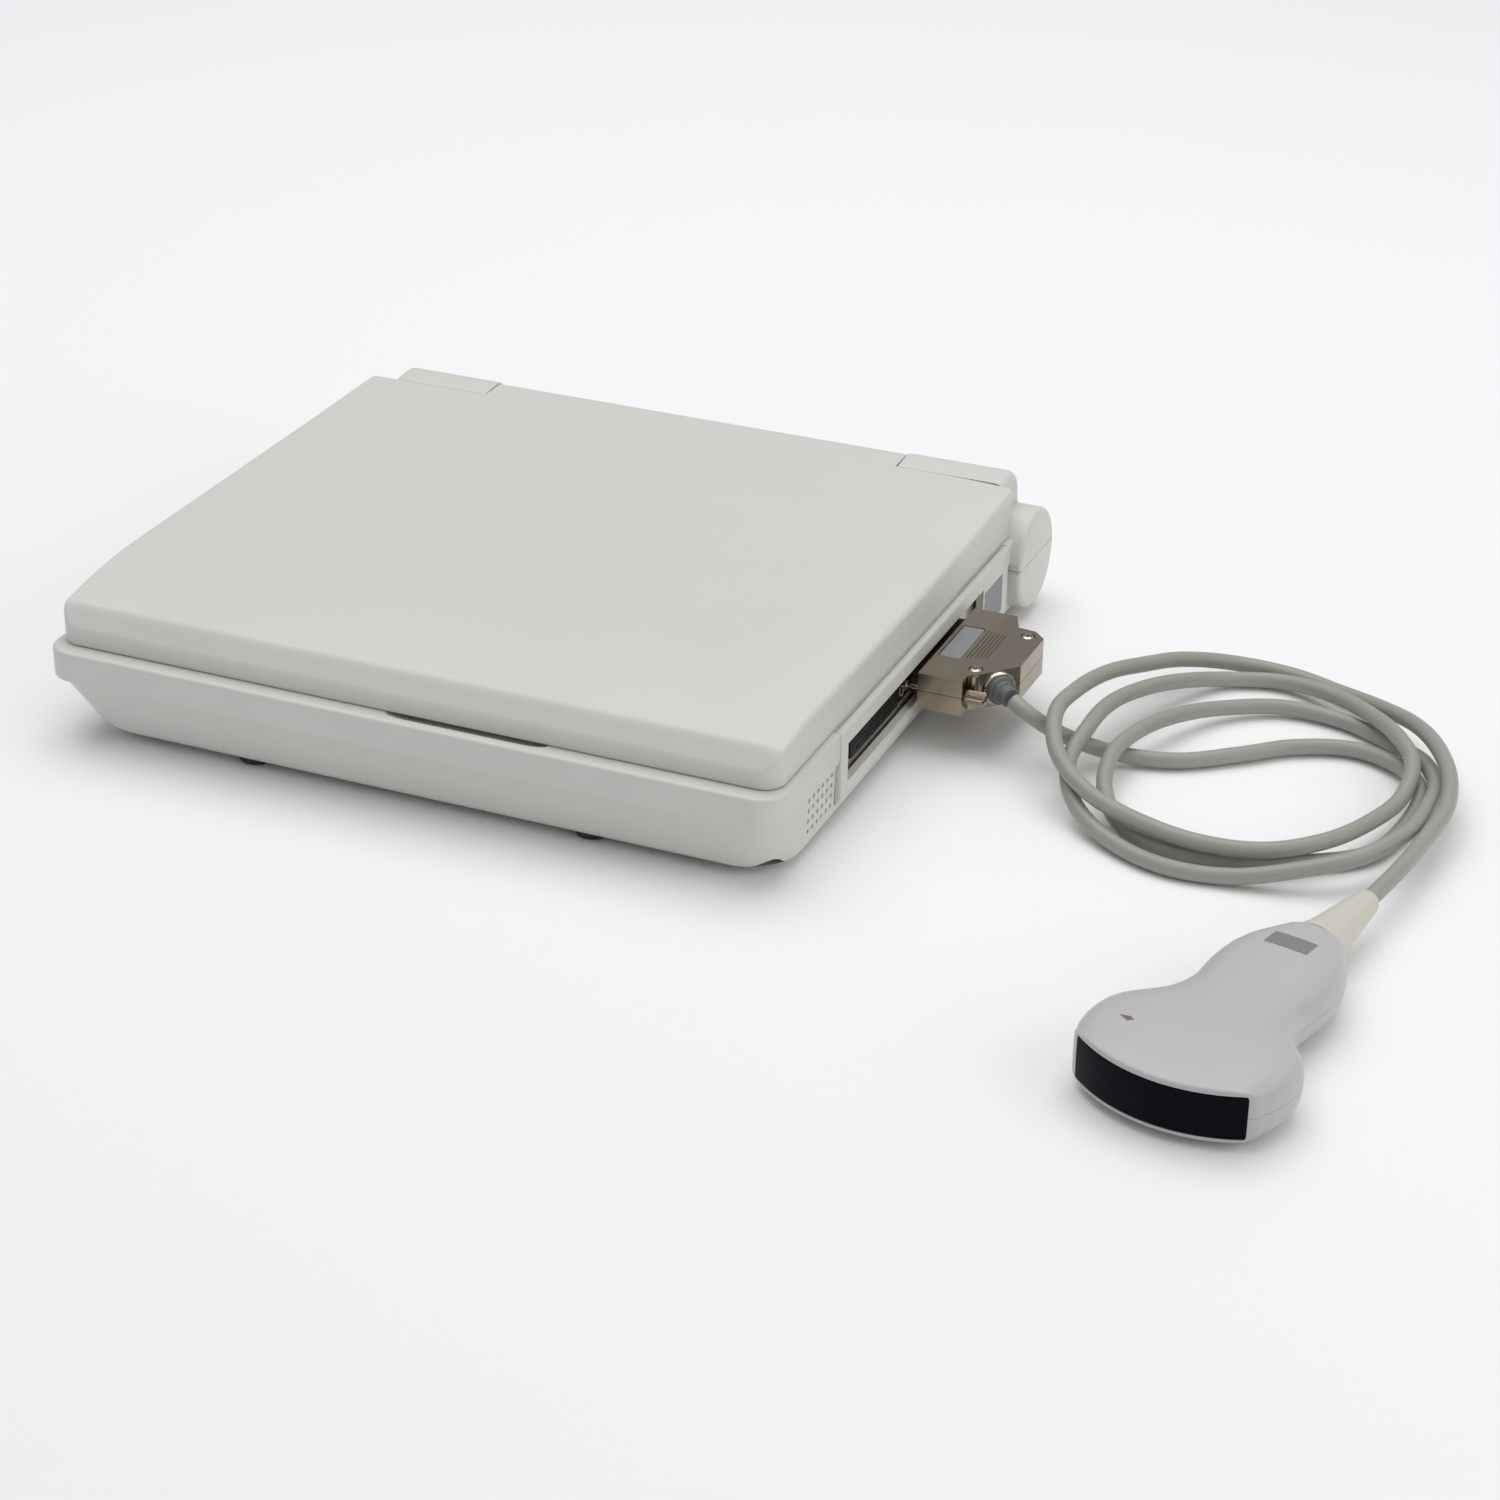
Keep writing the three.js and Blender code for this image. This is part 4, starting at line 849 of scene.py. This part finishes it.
def make_plug():
    for upper in (True, False):
        hood_half(upper)
    inset = 0.35
    x0, x1, y0, y1 = LABEL_BOX
    label = prism_z(rounded(x0 + inset, x1 - inset, y0 + inset, y1 - inset, 1.4, 5), 34.35, 34.85,
                    "plug_label_plate")
    soften(label, 0.1, 1, 40)
    finished(label, "plug", LABEL)
    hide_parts("plug_label")
    ring = [(-0.6, 5.2), (-0.6, 6.9), (-0.1, 7.4), (0.5, 7.6), (1.1, 7.4), (1.5, 6.9), (1.5, 5.1)]
    ring_piece = turned("gland_ring", GLAND, GLAND_AXIS, ring, 64)
    finished(ring_piece, "plug", BRIGHT)
    sleeve = [(-8, 4.5), (0.6, 4.6), (0.9, 6.1), (1.4, 6.25), (3.3, 6.2), (3.75, 5.9), (3.9, 5.2)]
    sleeve += [(5.8, 5.1), (6.2, 4.8), (6.4, 4.35), (9.8, 4.25), (10.5, 4.0), (10.7, 3.5)]
    grommet = turned("plug_sleeve", GLAND, GLAND_AXIS, sleeve, 64)
    finished(grommet, "plug", GROMMET, 50)
    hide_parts("plug_grommet")
    for side, name in ((-1, "thumbscrew_front"), (1, "thumbscrew_rear")):
        at = (0, PLUG_Y + side * DSUB_SCREW, PLUG_Z)
        shank = [(159.6, 1.2), (188.3, 1.25), (188.4, 2.2), (190, 2.3)]
        shaft = turned(name + "_shank", at, (1, 0, 0), shank, 32)
        finished(shaft, name, BRIGHT)
        knurl = [(188.4, 2.3), (188.7, 2.75), (189.4, 2.9), (196.3, 2.9), (197, 2.7), (197.4, 2.2)]
        head = turned(name + "_head", at, (1, 0, 0), knurl, 160, 32, 0.22)
        cut(head, block(196.6, 200, at[1] - 5, at[1] + 5, PLUG_Z - 0.4, PLUG_Z + 0.4))
        finished(head, name, NICKEL, 40)
        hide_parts(name)
    for name, x, y in HOOD_SCREWS:
        profile = [(23, 1.1), (33.7, 1.1), (33.7, 2.6), (34.6, 2.7), (35.1, 2.3), (35.3, 1.5), (35.35, 0.5)]
        screw = turned(name + "_head", (x, y, 0), (0, 0, 1), profile, 40)
        cut(screw, block(x - 1.7, x + 1.7, y - 0.33, y + 0.33, 34.5, 40))
        cut(screw, block(x - 0.33, x + 0.33, y - 1.7, y + 1.7, 34.5, 40))
        finished(screw, "plug", BRIGHT, 40)
        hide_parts(name)


make_plug()


# ---------- sockets ----------
def d_outline(y, z, half_length, half_height, steps=5):
    """The D of the connector as (y, z), its upper side the longer one."""
    lean = half_height * 0.35
    r = 1.1
    corners = [
        (y + half_length - lean - r, z - half_height + r, -90, -10),
        (y + half_length - r, z + half_height - r, -10, 90),
        (y - half_length + r, z + half_height - r, 90, 190),
        (y - half_length + lean + r, z - half_height + r, 190, 270),
    ]
    outline = []
    for cy, cz, start, end in corners:
        outline += arc(cy, cz, r, start, end, steps)
    return outline


def prism_x(outline, x0, x1, name="prism"):
    """outline is (y, z)."""
    return solid(name, [[(x, y, z) for y, z in outline] for x in (x0, x1)])


def make_socket(name, y):
    half = DSUB_LENGTH / 2
    flange = block(FLANGE_X, FLANGE_X + 1.2, y - half, y + half, PLUG_Z - 6.25, PLUG_Z + 6.25)
    flange.name = name + "_flange"
    bores = [bar("x", y + side * DSUB_SCREW, PLUG_Z, 1.7, 155, 170, 20) for side in (-1, 1)]
    cut(flange, *bores)
    soften(flange, 0.2, 2, 40)
    finished(flange, "console", BRONZE)
    collar = d_outline(y, PLUG_Z, DSUB_SHELL / 2 + 0.25, 4.55)
    collar = prism_x(collar, FLANGE_X + 1.1, 163, name + "_collar")
    cut(collar, prism_x(d_outline(y, PLUG_Z, DSUB_SHELL / 2 - 0.1, 4.2), 158, 170))
    finished(collar, "console", BRONZE)
    core = d_outline(y, PLUG_Z, DSUB_SHELL / 2 - 0.25, 4.05)
    core = prism_x(core, FLANGE_X - 10.9, TONGUE_X, name + "_core")
    contacts = []
    for row, count in ((1.42, 19), (-1.42, 18)):
        for i in range(count):
            across = y + (i - (count - 1) / 2) * 2.76
            contacts.append(bar("x", across, PLUG_Z + row, 0.55, 161.5, 165, 10))
    cut(core, *contacts)
    soften(core, 0.15, 1, 40)
    finished(core, "console", BLACK)
    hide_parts(name)


def make_jack_nuts(name, y):
    for suffix, side in (("_a", -1), ("_b", 1)):
        at = y + side * DSUB_SCREW
        nut = bar("x", at, PLUG_Z, 2.75, 157.9, 162.8, 6)
        nut.name = name + suffix + "_hex"
        cut(nut, bar("x", at, PLUG_Z, 1.5, 158.5, 170, 20))
        soften(nut, 0.25, 2, 40)
        finished(nut, "console", BRIGHT)
        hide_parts(name + suffix)


for socket_name, socket_y in (("front", PLUG_Y - SOCKET_PITCH), ("rear", PLUG_Y)):
    make_socket("probe_socket_" + socket_name, socket_y)
    make_jack_nuts("jack_nut_" + socket_name, socket_y)


# ---------- probe ----------
# Distance behind the lens chord, half width, half height and how boxy the section is.
PROBE_SECTIONS = [
    (-10.5, 37.2, 11, 6.0), (-4, 38.2, 11.6, 5.6), (6, 39.4, 12.4, 5.0), (18, 40.4, 13, 4.4),
    (28, 40.1, 13.2, 4.0), (35, 38, 13.3, 3.6), (41, 33.4, 13.2, 3.3), (47, 28.2, 13.1, 3.1),
    (55, 24.6, 12.9, 3.0), (64, 22.9, 12.7, 3.0), (78, 24, 12.8, 3.0), (90, 23.6, 12.9, 2.9),
    (100, 21.4, 12.6, 2.8), (108, 17.8, 12.1, 2.5), (116.2, 13.6, 11.2, 2.3),
]
STICKER_CORNERS = [(-8.6, 91.9), (8.6, 91.9), (8.6, 101.1), (-8.6, 101.1)]
MARK_CORNERS = [(-25.4, 16.6), (-21.4, 14.6), (-19.6, 16.2), (-21.6, 17.4)]
CHORD_DEPTH = math.sqrt(LENS_R**2 - LENS_HALF_CHORD**2)
FACE_R = LENS_R - 1.4


def probe_section(along):
    """Half width, half height and boxiness at a distance, on a smooth curve through the sections."""
    rows = PROBE_SECTIONS
    i = max(0, min(len(rows) - 2, sum(row[0] <= along for row in rows) - 1))
    a, b = rows[i], rows[i + 1]
    before = rows[i - 1] if i else a
    after = rows[i + 2] if i + 2 < len(rows) else b
    t = min(1.0, max(0.0, (along - a[0]) / (b[0] - a[0])))
    values = []
    for k in (1, 2, 3):
        span = b[0] - a[0]
        start = (b[k] - before[k]) / max(b[0] - before[0], 1) * span
        end = (after[k] - a[k]) / max(after[0] - a[0], 1) * span
        cubic = (2 * t**3 - 3 * t**2 + 1) * a[k] + (t**3 - 2 * t**2 + t) * start
        values.append(cubic + (3 * t**2 - 2 * t**3) * b[k] + (t**3 - t**2) * end)
    return values


def face_at(x, radius=FACE_R):
    return CHORD_DEPTH - math.sqrt(radius**2 - x**2)


def section_angles():
    """Directions that spread evenly over the four sides of a box."""
    angles = []
    for turn, count in ((0, 14), (1, 36), (2, 14), (3, 36)):
        for i in range(count):
            t = -1 + 2 * i / count
            angles.append(math.radians(90 * turn) + math.atan(t))
    return angles


def section_points(half_width, half_height, boxy):
    points = []
    for angle in section_angles():
        c, s = math.cos(angle), math.sin(angle)
        reach = (abs(c) ** boxy + abs(s) ** boxy) ** (-1 / boxy)
        points.append((half_width * reach * c, half_height * reach * s))
    return points


def to_world(x, y, z):
    c, s = math.cos(PROBE_TURN), math.sin(PROBE_TURN)
    return (PROBE_AT.x + x * c - y * s, PROBE_AT.y + x * s + y * c, PROBE_AT.z + z)


def probe_loop(half_width, half_height, boxy, along):
    """One section; along gives its distance for each x across."""
    return [to_world(x, along(x), z) for x, z in section_points(half_width, half_height, boxy)]


def probe_body():
    width, height = LENS_HALF_CHORD + 0.12, LENS_HALF_H + 0.12
    rim = [  # half width, half height, boxiness, depth behind the curved face
        (width, height, 60, 2.4), (width, height, 60, 0.35), (width + 0.1, height + 0.1, 50, 0.08),
        (width + 0.4, height + 0.35, 30, 0), (35.5, 9.7, 14, 0.1), (36.3, 10.3, 10, 0.45),
        (36.9, 10.75, 8, 1.1), (37.2, 11, 7, 2.1), (37.35, 11.15, 6.2, 3.4),
    ]
    loops = []
    for w, h, boxy, depth in rim:
        loops.append(probe_loop(w, h, boxy, lambda x, d=depth: face_at(x) + d))
    middle = face_at(0)
    fading = [(-3, 0.92), (0.5, 0.8), (4.5, 0.62), (9, 0.42), (14, 0.24), (19, 0.1), (24, 0.02)]
    straight = [28, 31, 34, 37, 40, 43, 46, 49, 52, 55, 58, 62, 66, 70, 75, 80, 85, 90, 94, 98, 101.5]
    straight += [104.5, 107, 109.2, 111.2, 113, 114.4]
    for along, fade in [*fading, *[(s, 0) for s in straight]]:
        section = probe_section(along + fade * 4)
        loops.append(probe_loop(*section, lambda x, a=along, f=fade: a + f * (face_at(x) - middle)))
    w, h, boxy = probe_section(115.2)
    for shrink, along in ((0.985, 115.2), (0.955, 115.9), (0.9, 116.35), (0.8, 116.55)):
        loops.append(probe_loop(w * shrink, h * shrink, boxy, lambda x, a=along: a))
    loops.append(probe_loop(8.2, 8.2, 2.0, lambda x: 116.55))
    loops.append(probe_loop(8.2, 8.2, 2.0, lambda x: 105))
    return solid("probe_body", loops)


def lens_plate():
    """The acoustic lens: a plate bent round the arc, very slightly full in the middle."""
    def section(inset):
        half = LENS_HALF_H - inset
        upright = [-half + 0.35 + (2 * half - 0.7) * i / 12 for i in range(13)]
        front = [(-0.35 * (1 - (z / LENS_HALF_H) ** 2), z) for z in upright]
        below = [(2.3, -half), (0.4, -half), (0.1, -half + 0.1)]
        above = [(0.1, half - 0.1), (0.4, half), (2.3, half)]
        return [*below, *front, *above]

    edge = [(0, 0.35), (0.12, 0.1), (0.35, 0)]
    stations = [(-LENS_HALF_CHORD + step, inset) for step, inset in edge]
    steps = 48
    reach = LENS_HALF_CHORD - 1
    stations += [(-reach + 2 * reach * i / steps, 0) for i in range(steps + 1)]
    stations += [(LENS_HALF_CHORD - step, inset) for step, inset in reversed(edge)]
    loops = []
    for x, inset in stations:
        loops.append([to_world(x, face_at(x) + depth + inset * 0.3, z) for depth, z in section(inset)])
    return solid("lens_window", loops)


def make_probe():
    whole = probe_body()
    half = whole.copy()
    half.data = whole.data.copy()
    bpy.context.scene.collection.objects.link(half)
    seam = 0.06
    big = (250, 450, -350, -50)
    cut(whole, block(*big, -50, PROBE_AT.z + seam))
    cut(half, block(*big, PROBE_AT.z - seam, 90))
    whole.name, half.name = "probe_case_top", "probe_case_bottom"
    for piece, node in ((whole, "probe_shell_upper"), (half, "probe_shell_lower")):
        finished(piece, "plug", PROBE, 38)
        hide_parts(node)
    lens = lens_plate()
    finished(lens, "plug", LENS, 40)
    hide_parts("probe_lens")
    profile = [(105.4, 7.9), (116.65, 7.9), (116.8, 10.4), (117.4, 10.75), (118.4, 10.7), (120.4, 10.4),
               (122.5, 9.8), (125, 9.2), (134, 8.2), (142, 7.3), (150, 6.4), (157, 5.6), (159.6, 5.3),
               (160.8, 4.9), (161.4, 4.3), (161.5, 3.65)]
    axis = Vector(to_world(0, 1, 0)) - Vector(to_world(0, 0, 0))
    boot = turned("boot", to_world(0, 0, 0), axis, profile, 64)
    finished(boot, "plug", BOOT, 60)
    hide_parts("probe_boot")
    laid_patch(whole, "probe_sticker", STICKER_CORNERS, STICKER)
    laid_patch(whole, "probe_mark", MARK_CORNERS, MARK)


def laid_patch(case, name, corners, material):
    """A thin four-cornered patch laid on the curved case; corners in the probe's own plan."""
    columns, rows = 24, 12
    graph = bpy.context.evaluated_depsgraph_get()
    skin_of = case.evaluated_get(graph)
    a, b, c, d = [Vector(corner) for corner in corners]
    points, faces = [], []
    for layer in (0.16, -0.2):
        for row in range(rows + 1):
            for column in range(columns + 1):
                t, u = column / columns, row / rows
                x, y = (a * (1 - t) + b * t) * (1 - u) + (d * (1 - t) + c * t) * u
                wx, wy, _ = to_world(x, y, 0)
                hit, place, _, _ = skin_of.ray_cast(Vector((wx, wy, 60)) * MM, Vector((0, 0, -1)))
                z = place.z / MM if hit else PROBE_AT.z + 12
                points.append((wx, wy, z + layer))
    wide = columns + 1
    lower = wide * (rows + 1)
    for row in range(rows):
        for column in range(columns):
            a = row * wide + column
            faces.append((a, a + 1, a + 1 + wide, a + wide))
            faces.append((lower + a, lower + a + wide, lower + a + 1 + wide, lower + a + 1))
    rim = [*range(wide), *[wide * r + columns for r in range(1, rows + 1)]]
    rim += [wide * rows + c for c in range(columns - 1, -1, -1)]
    rim += [wide * r for r in range(rows - 1, 0, -1)]
    for a, b in zip(rim, [*rim[1:], rim[0]]):
        faces.append((a, lower + a, lower + b, b))
    mesh = bpy.data.meshes.new(name)
    mesh.from_pydata([tuple(c * MM for c in p) for p in points], [], faces)
    patch = bpy.data.objects.new(name, mesh)
    bpy.context.scene.collection.objects.link(patch)
    work = bmesh.new()
    work.from_mesh(mesh)
    bmesh.ops.recalc_face_normals(work, faces=work.faces)
    work.to_mesh(mesh)
    work.free()
    finished(patch, "plug", material)


STICKER = plastic("sticker_grey", (0.22, 0.22, 0.23), 0.35, 500, 0.03)
make_probe()


# ---------- small round pieces ----------
def make_keys():
    for name, x, y, r in KEYS:
        profile = [(33, 2.5), (39.5, 2.5), (39.5, r), (43.1, r), (43.7, r - 0.25), (44.05, r - 0.8)]
        profile += [(44.15, r - 1.6), (43.95, r * 0.5), (43.85, r * 0.15)]
        cap = turned(name + "_cap", (x, y, 0), (0, 0, 1), profile, 64)
        green = name == "freeze_key"
        finished(cap, name, GREEN if green else BUTTON)
        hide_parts(name)


def make_knob():
    x, y, r = KNOB
    profile = [(31, 3), (40.35, 3), (40.4, r - 0.3), (40.8, r), (43.5, r), (44.2, r - 0.3), (44.55, r - 1)]
    profile += [(44.55, r - 2.6), (44.1, r - 3.2), (44.1, 0.5)]
    knob = turned("gain_knob_cap", (x, y, 0), (0, 0, 1), profile, 192, 48, 0.3)
    cut(knob, block(x - 0.5, x + 0.5, y + r - 5, y + r + 1, 43.7, 50))
    finished(knob, "gain_knob", BUTTON, 40)
    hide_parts("gain_knob")


def make_feet():
    profile = [(0, 0.4), (0, 5.8), (0.12, 6.6), (0.5, 7.2), (1.1, 7.5), (4.3, 7.5), (4.35, 0.5)]
    for name, x, y in FEET:
        pad = turned(name + "_pad", (x, y, 0), (0, 0, 1), profile, 48)
        finished(pad, "console", FOOT)
        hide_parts(name)


def make_trackball():
    profile = []
    for i in range(1, 40):
        angle = math.pi * i / 40
        profile.append((TRACKBALL_Z - TRACKBALL_R * math.cos(angle), TRACKBALL_R * math.sin(angle)))
    ball = turned("trackball_ball", (*TRACKBALL, 0), (0, 0, 1), profile, 64)
    finished(ball, "trackball", BALL, 60)
    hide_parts("trackball")
    profile = [(40.5, 10.8), (40.5, 16.6), (40.9, 17), (42.1, 17), (42.5, 16.7), (42.6, 16.2), (42.55, 14)]
    profile += [(41.8, 11.6), (41.2, 10.8)]
    ring = turned("trackball_collar", (*TRACKBALL, 0), (0, 0, 1), [*profile, profile[0]], 64)
    finished(ring, "console", BLACK)
    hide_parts("trackball_ring")


# ---------- CAD nodes that keep their shape ----------
def dress(node, material, edge):
    """Paints a CAD node and rounds its edges a little."""
    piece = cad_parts[node]
    weld = piece.modifiers.new("weld", "WELD")
    weld.merge_threshold = 1e-6
    if edge:
        step = piece.modifiers.new("edges", "BEVEL")
        step.width = edge * MM
        step.segments = 2
        step.limit_method = "ANGLE"
        step.angle_limit = math.radians(40)
        step.harden_normals = True
    piece.data.materials.clear()
    piece.data.materials.append(material)


DRESSED = {
    "port_shield": (STEEL, 0.1), "rating_plate": (LABEL, 0.1), "speaker": (BLACK, 0.2),
    "rear_io_plate": (BLACK, 0.2), "dc_inlet": (BLACK, 0.2), "video_jack": (STEEL, 0.2),
    "usb_port": (STEEL, 0.2), "power_rocker": (BLACK, 0.3), "main_board": (BOARD, 0),
    "beamformer_board": (BOARD, 0), "battery_pack": (BLACK, 0.5), "battery_door": (CASE, 0.3),
    "fan_housing": (BLACK, 0.2), "fan_rotor": (BLACK, 0.1), "control_overlay": (DECK, 0.15),
    "key_mat": (KEYGREY, 0.6), "trackball_housing": (BLACK, 0), "lid_bezel": (DECK, 0.3),
    "lcd_panel": (SCREEN, 0.2), "inverter_board": (BOARD, 0), "hinge_arm_left": (STEEL, 0.1),
    "hinge_arm_right": (STEEL, 0.1), "plug_connector": (BRONZE, 0.1), "probe_array": (BLACK, 0),
}

make_keys()
make_knob()
make_feet()
make_trackball()
for node_name, (node_material, node_edge) in DRESSED.items():
    dress(node_name, node_material, node_edge)


# ---------- stage and light ----------
def make_stage():
    material, shader = new_material("floor_white", (0.93, 0.93, 0.93), 0.9)
    tree = material.node_tree
    paper = noise(tree, 300, 2)
    bumped(tree, shader, paper.outputs["Fac"], 0.0001, 0.05)
    mesh = bpy.data.meshes.new("floor")
    far = 30
    mesh.from_pydata([(-far, -far, 0), (far, -far, 0), (far, far, 0), (-far, far, 0)], [], [(0, 1, 2, 3)])
    floor = bpy.data.objects.new("floor", mesh)
    floor.location.z = -0.0001
    bpy.context.scene.collection.objects.link(floor)
    mesh.materials.append(material)


def area_light(name, at, target, size, watts, color=(1, 1, 1)):
    data = bpy.data.lights.new(name, "AREA")
    data.shape = "RECTANGLE"
    data.size, data.size_y = size
    data.energy = watts
    data.color = color
    light = bpy.data.objects.new(name, data)
    light.location = at
    aim = Vector(target) - Vector(at)
    light.rotation_mode = "QUATERNION"
    light.rotation_quaternion = aim.to_track_quat("-Z", "Y")
    bpy.context.scene.collection.objects.link(light)


def sky_gradient(tree, background):
    """Bright overhead, darker towards the horizon and below it."""
    place = tree.nodes.new("ShaderNodeTexCoord")
    split = tree.nodes.new("ShaderNodeSeparateXYZ")
    height = tree.nodes.new("ShaderNodeMapRange")
    height.inputs["From Min"].default_value = -1
    height.inputs["From Max"].default_value = 1
    ramp = tree.nodes.new("ShaderNodeValToRGB")
    ramp.color_ramp.elements[0].position = 0.45
    ramp.color_ramp.elements[0].color = (0.22, 0.225, 0.23, 1)
    ramp.color_ramp.elements[1].position = 0.95
    ramp.color_ramp.elements[1].color = (0.56, 0.57, 0.59, 1)
    tree.links.new(place.outputs["Generated"], split.inputs["Vector"])
    tree.links.new(split.outputs["Z"], height.inputs["Value"])
    tree.links.new(height.outputs["Result"], ramp.inputs["Fac"])
    tree.links.new(ramp.outputs["Color"], background.inputs["Color"])


def make_light():
    world = bpy.data.worlds.new("studio")
    world.use_nodes = True
    background = world.node_tree.nodes["Background"]
    background.inputs["Strength"].default_value = 1.0
    sky_gradient(world.node_tree, background)
    bpy.context.scene.world = world
    middle = (0.1, 0, 0.02)
    area_light("top", (-0.2, 0.5, 2.2), middle, (2.4, 2.4), 31)
    area_light("right", (1.9, -0.3, 1.0), middle, (1.6, 1.2), 9, (1, 0.97, 0.92))
    bpy.context.scene.view_settings.view_transform = "Standard"


make_stage()
make_light()
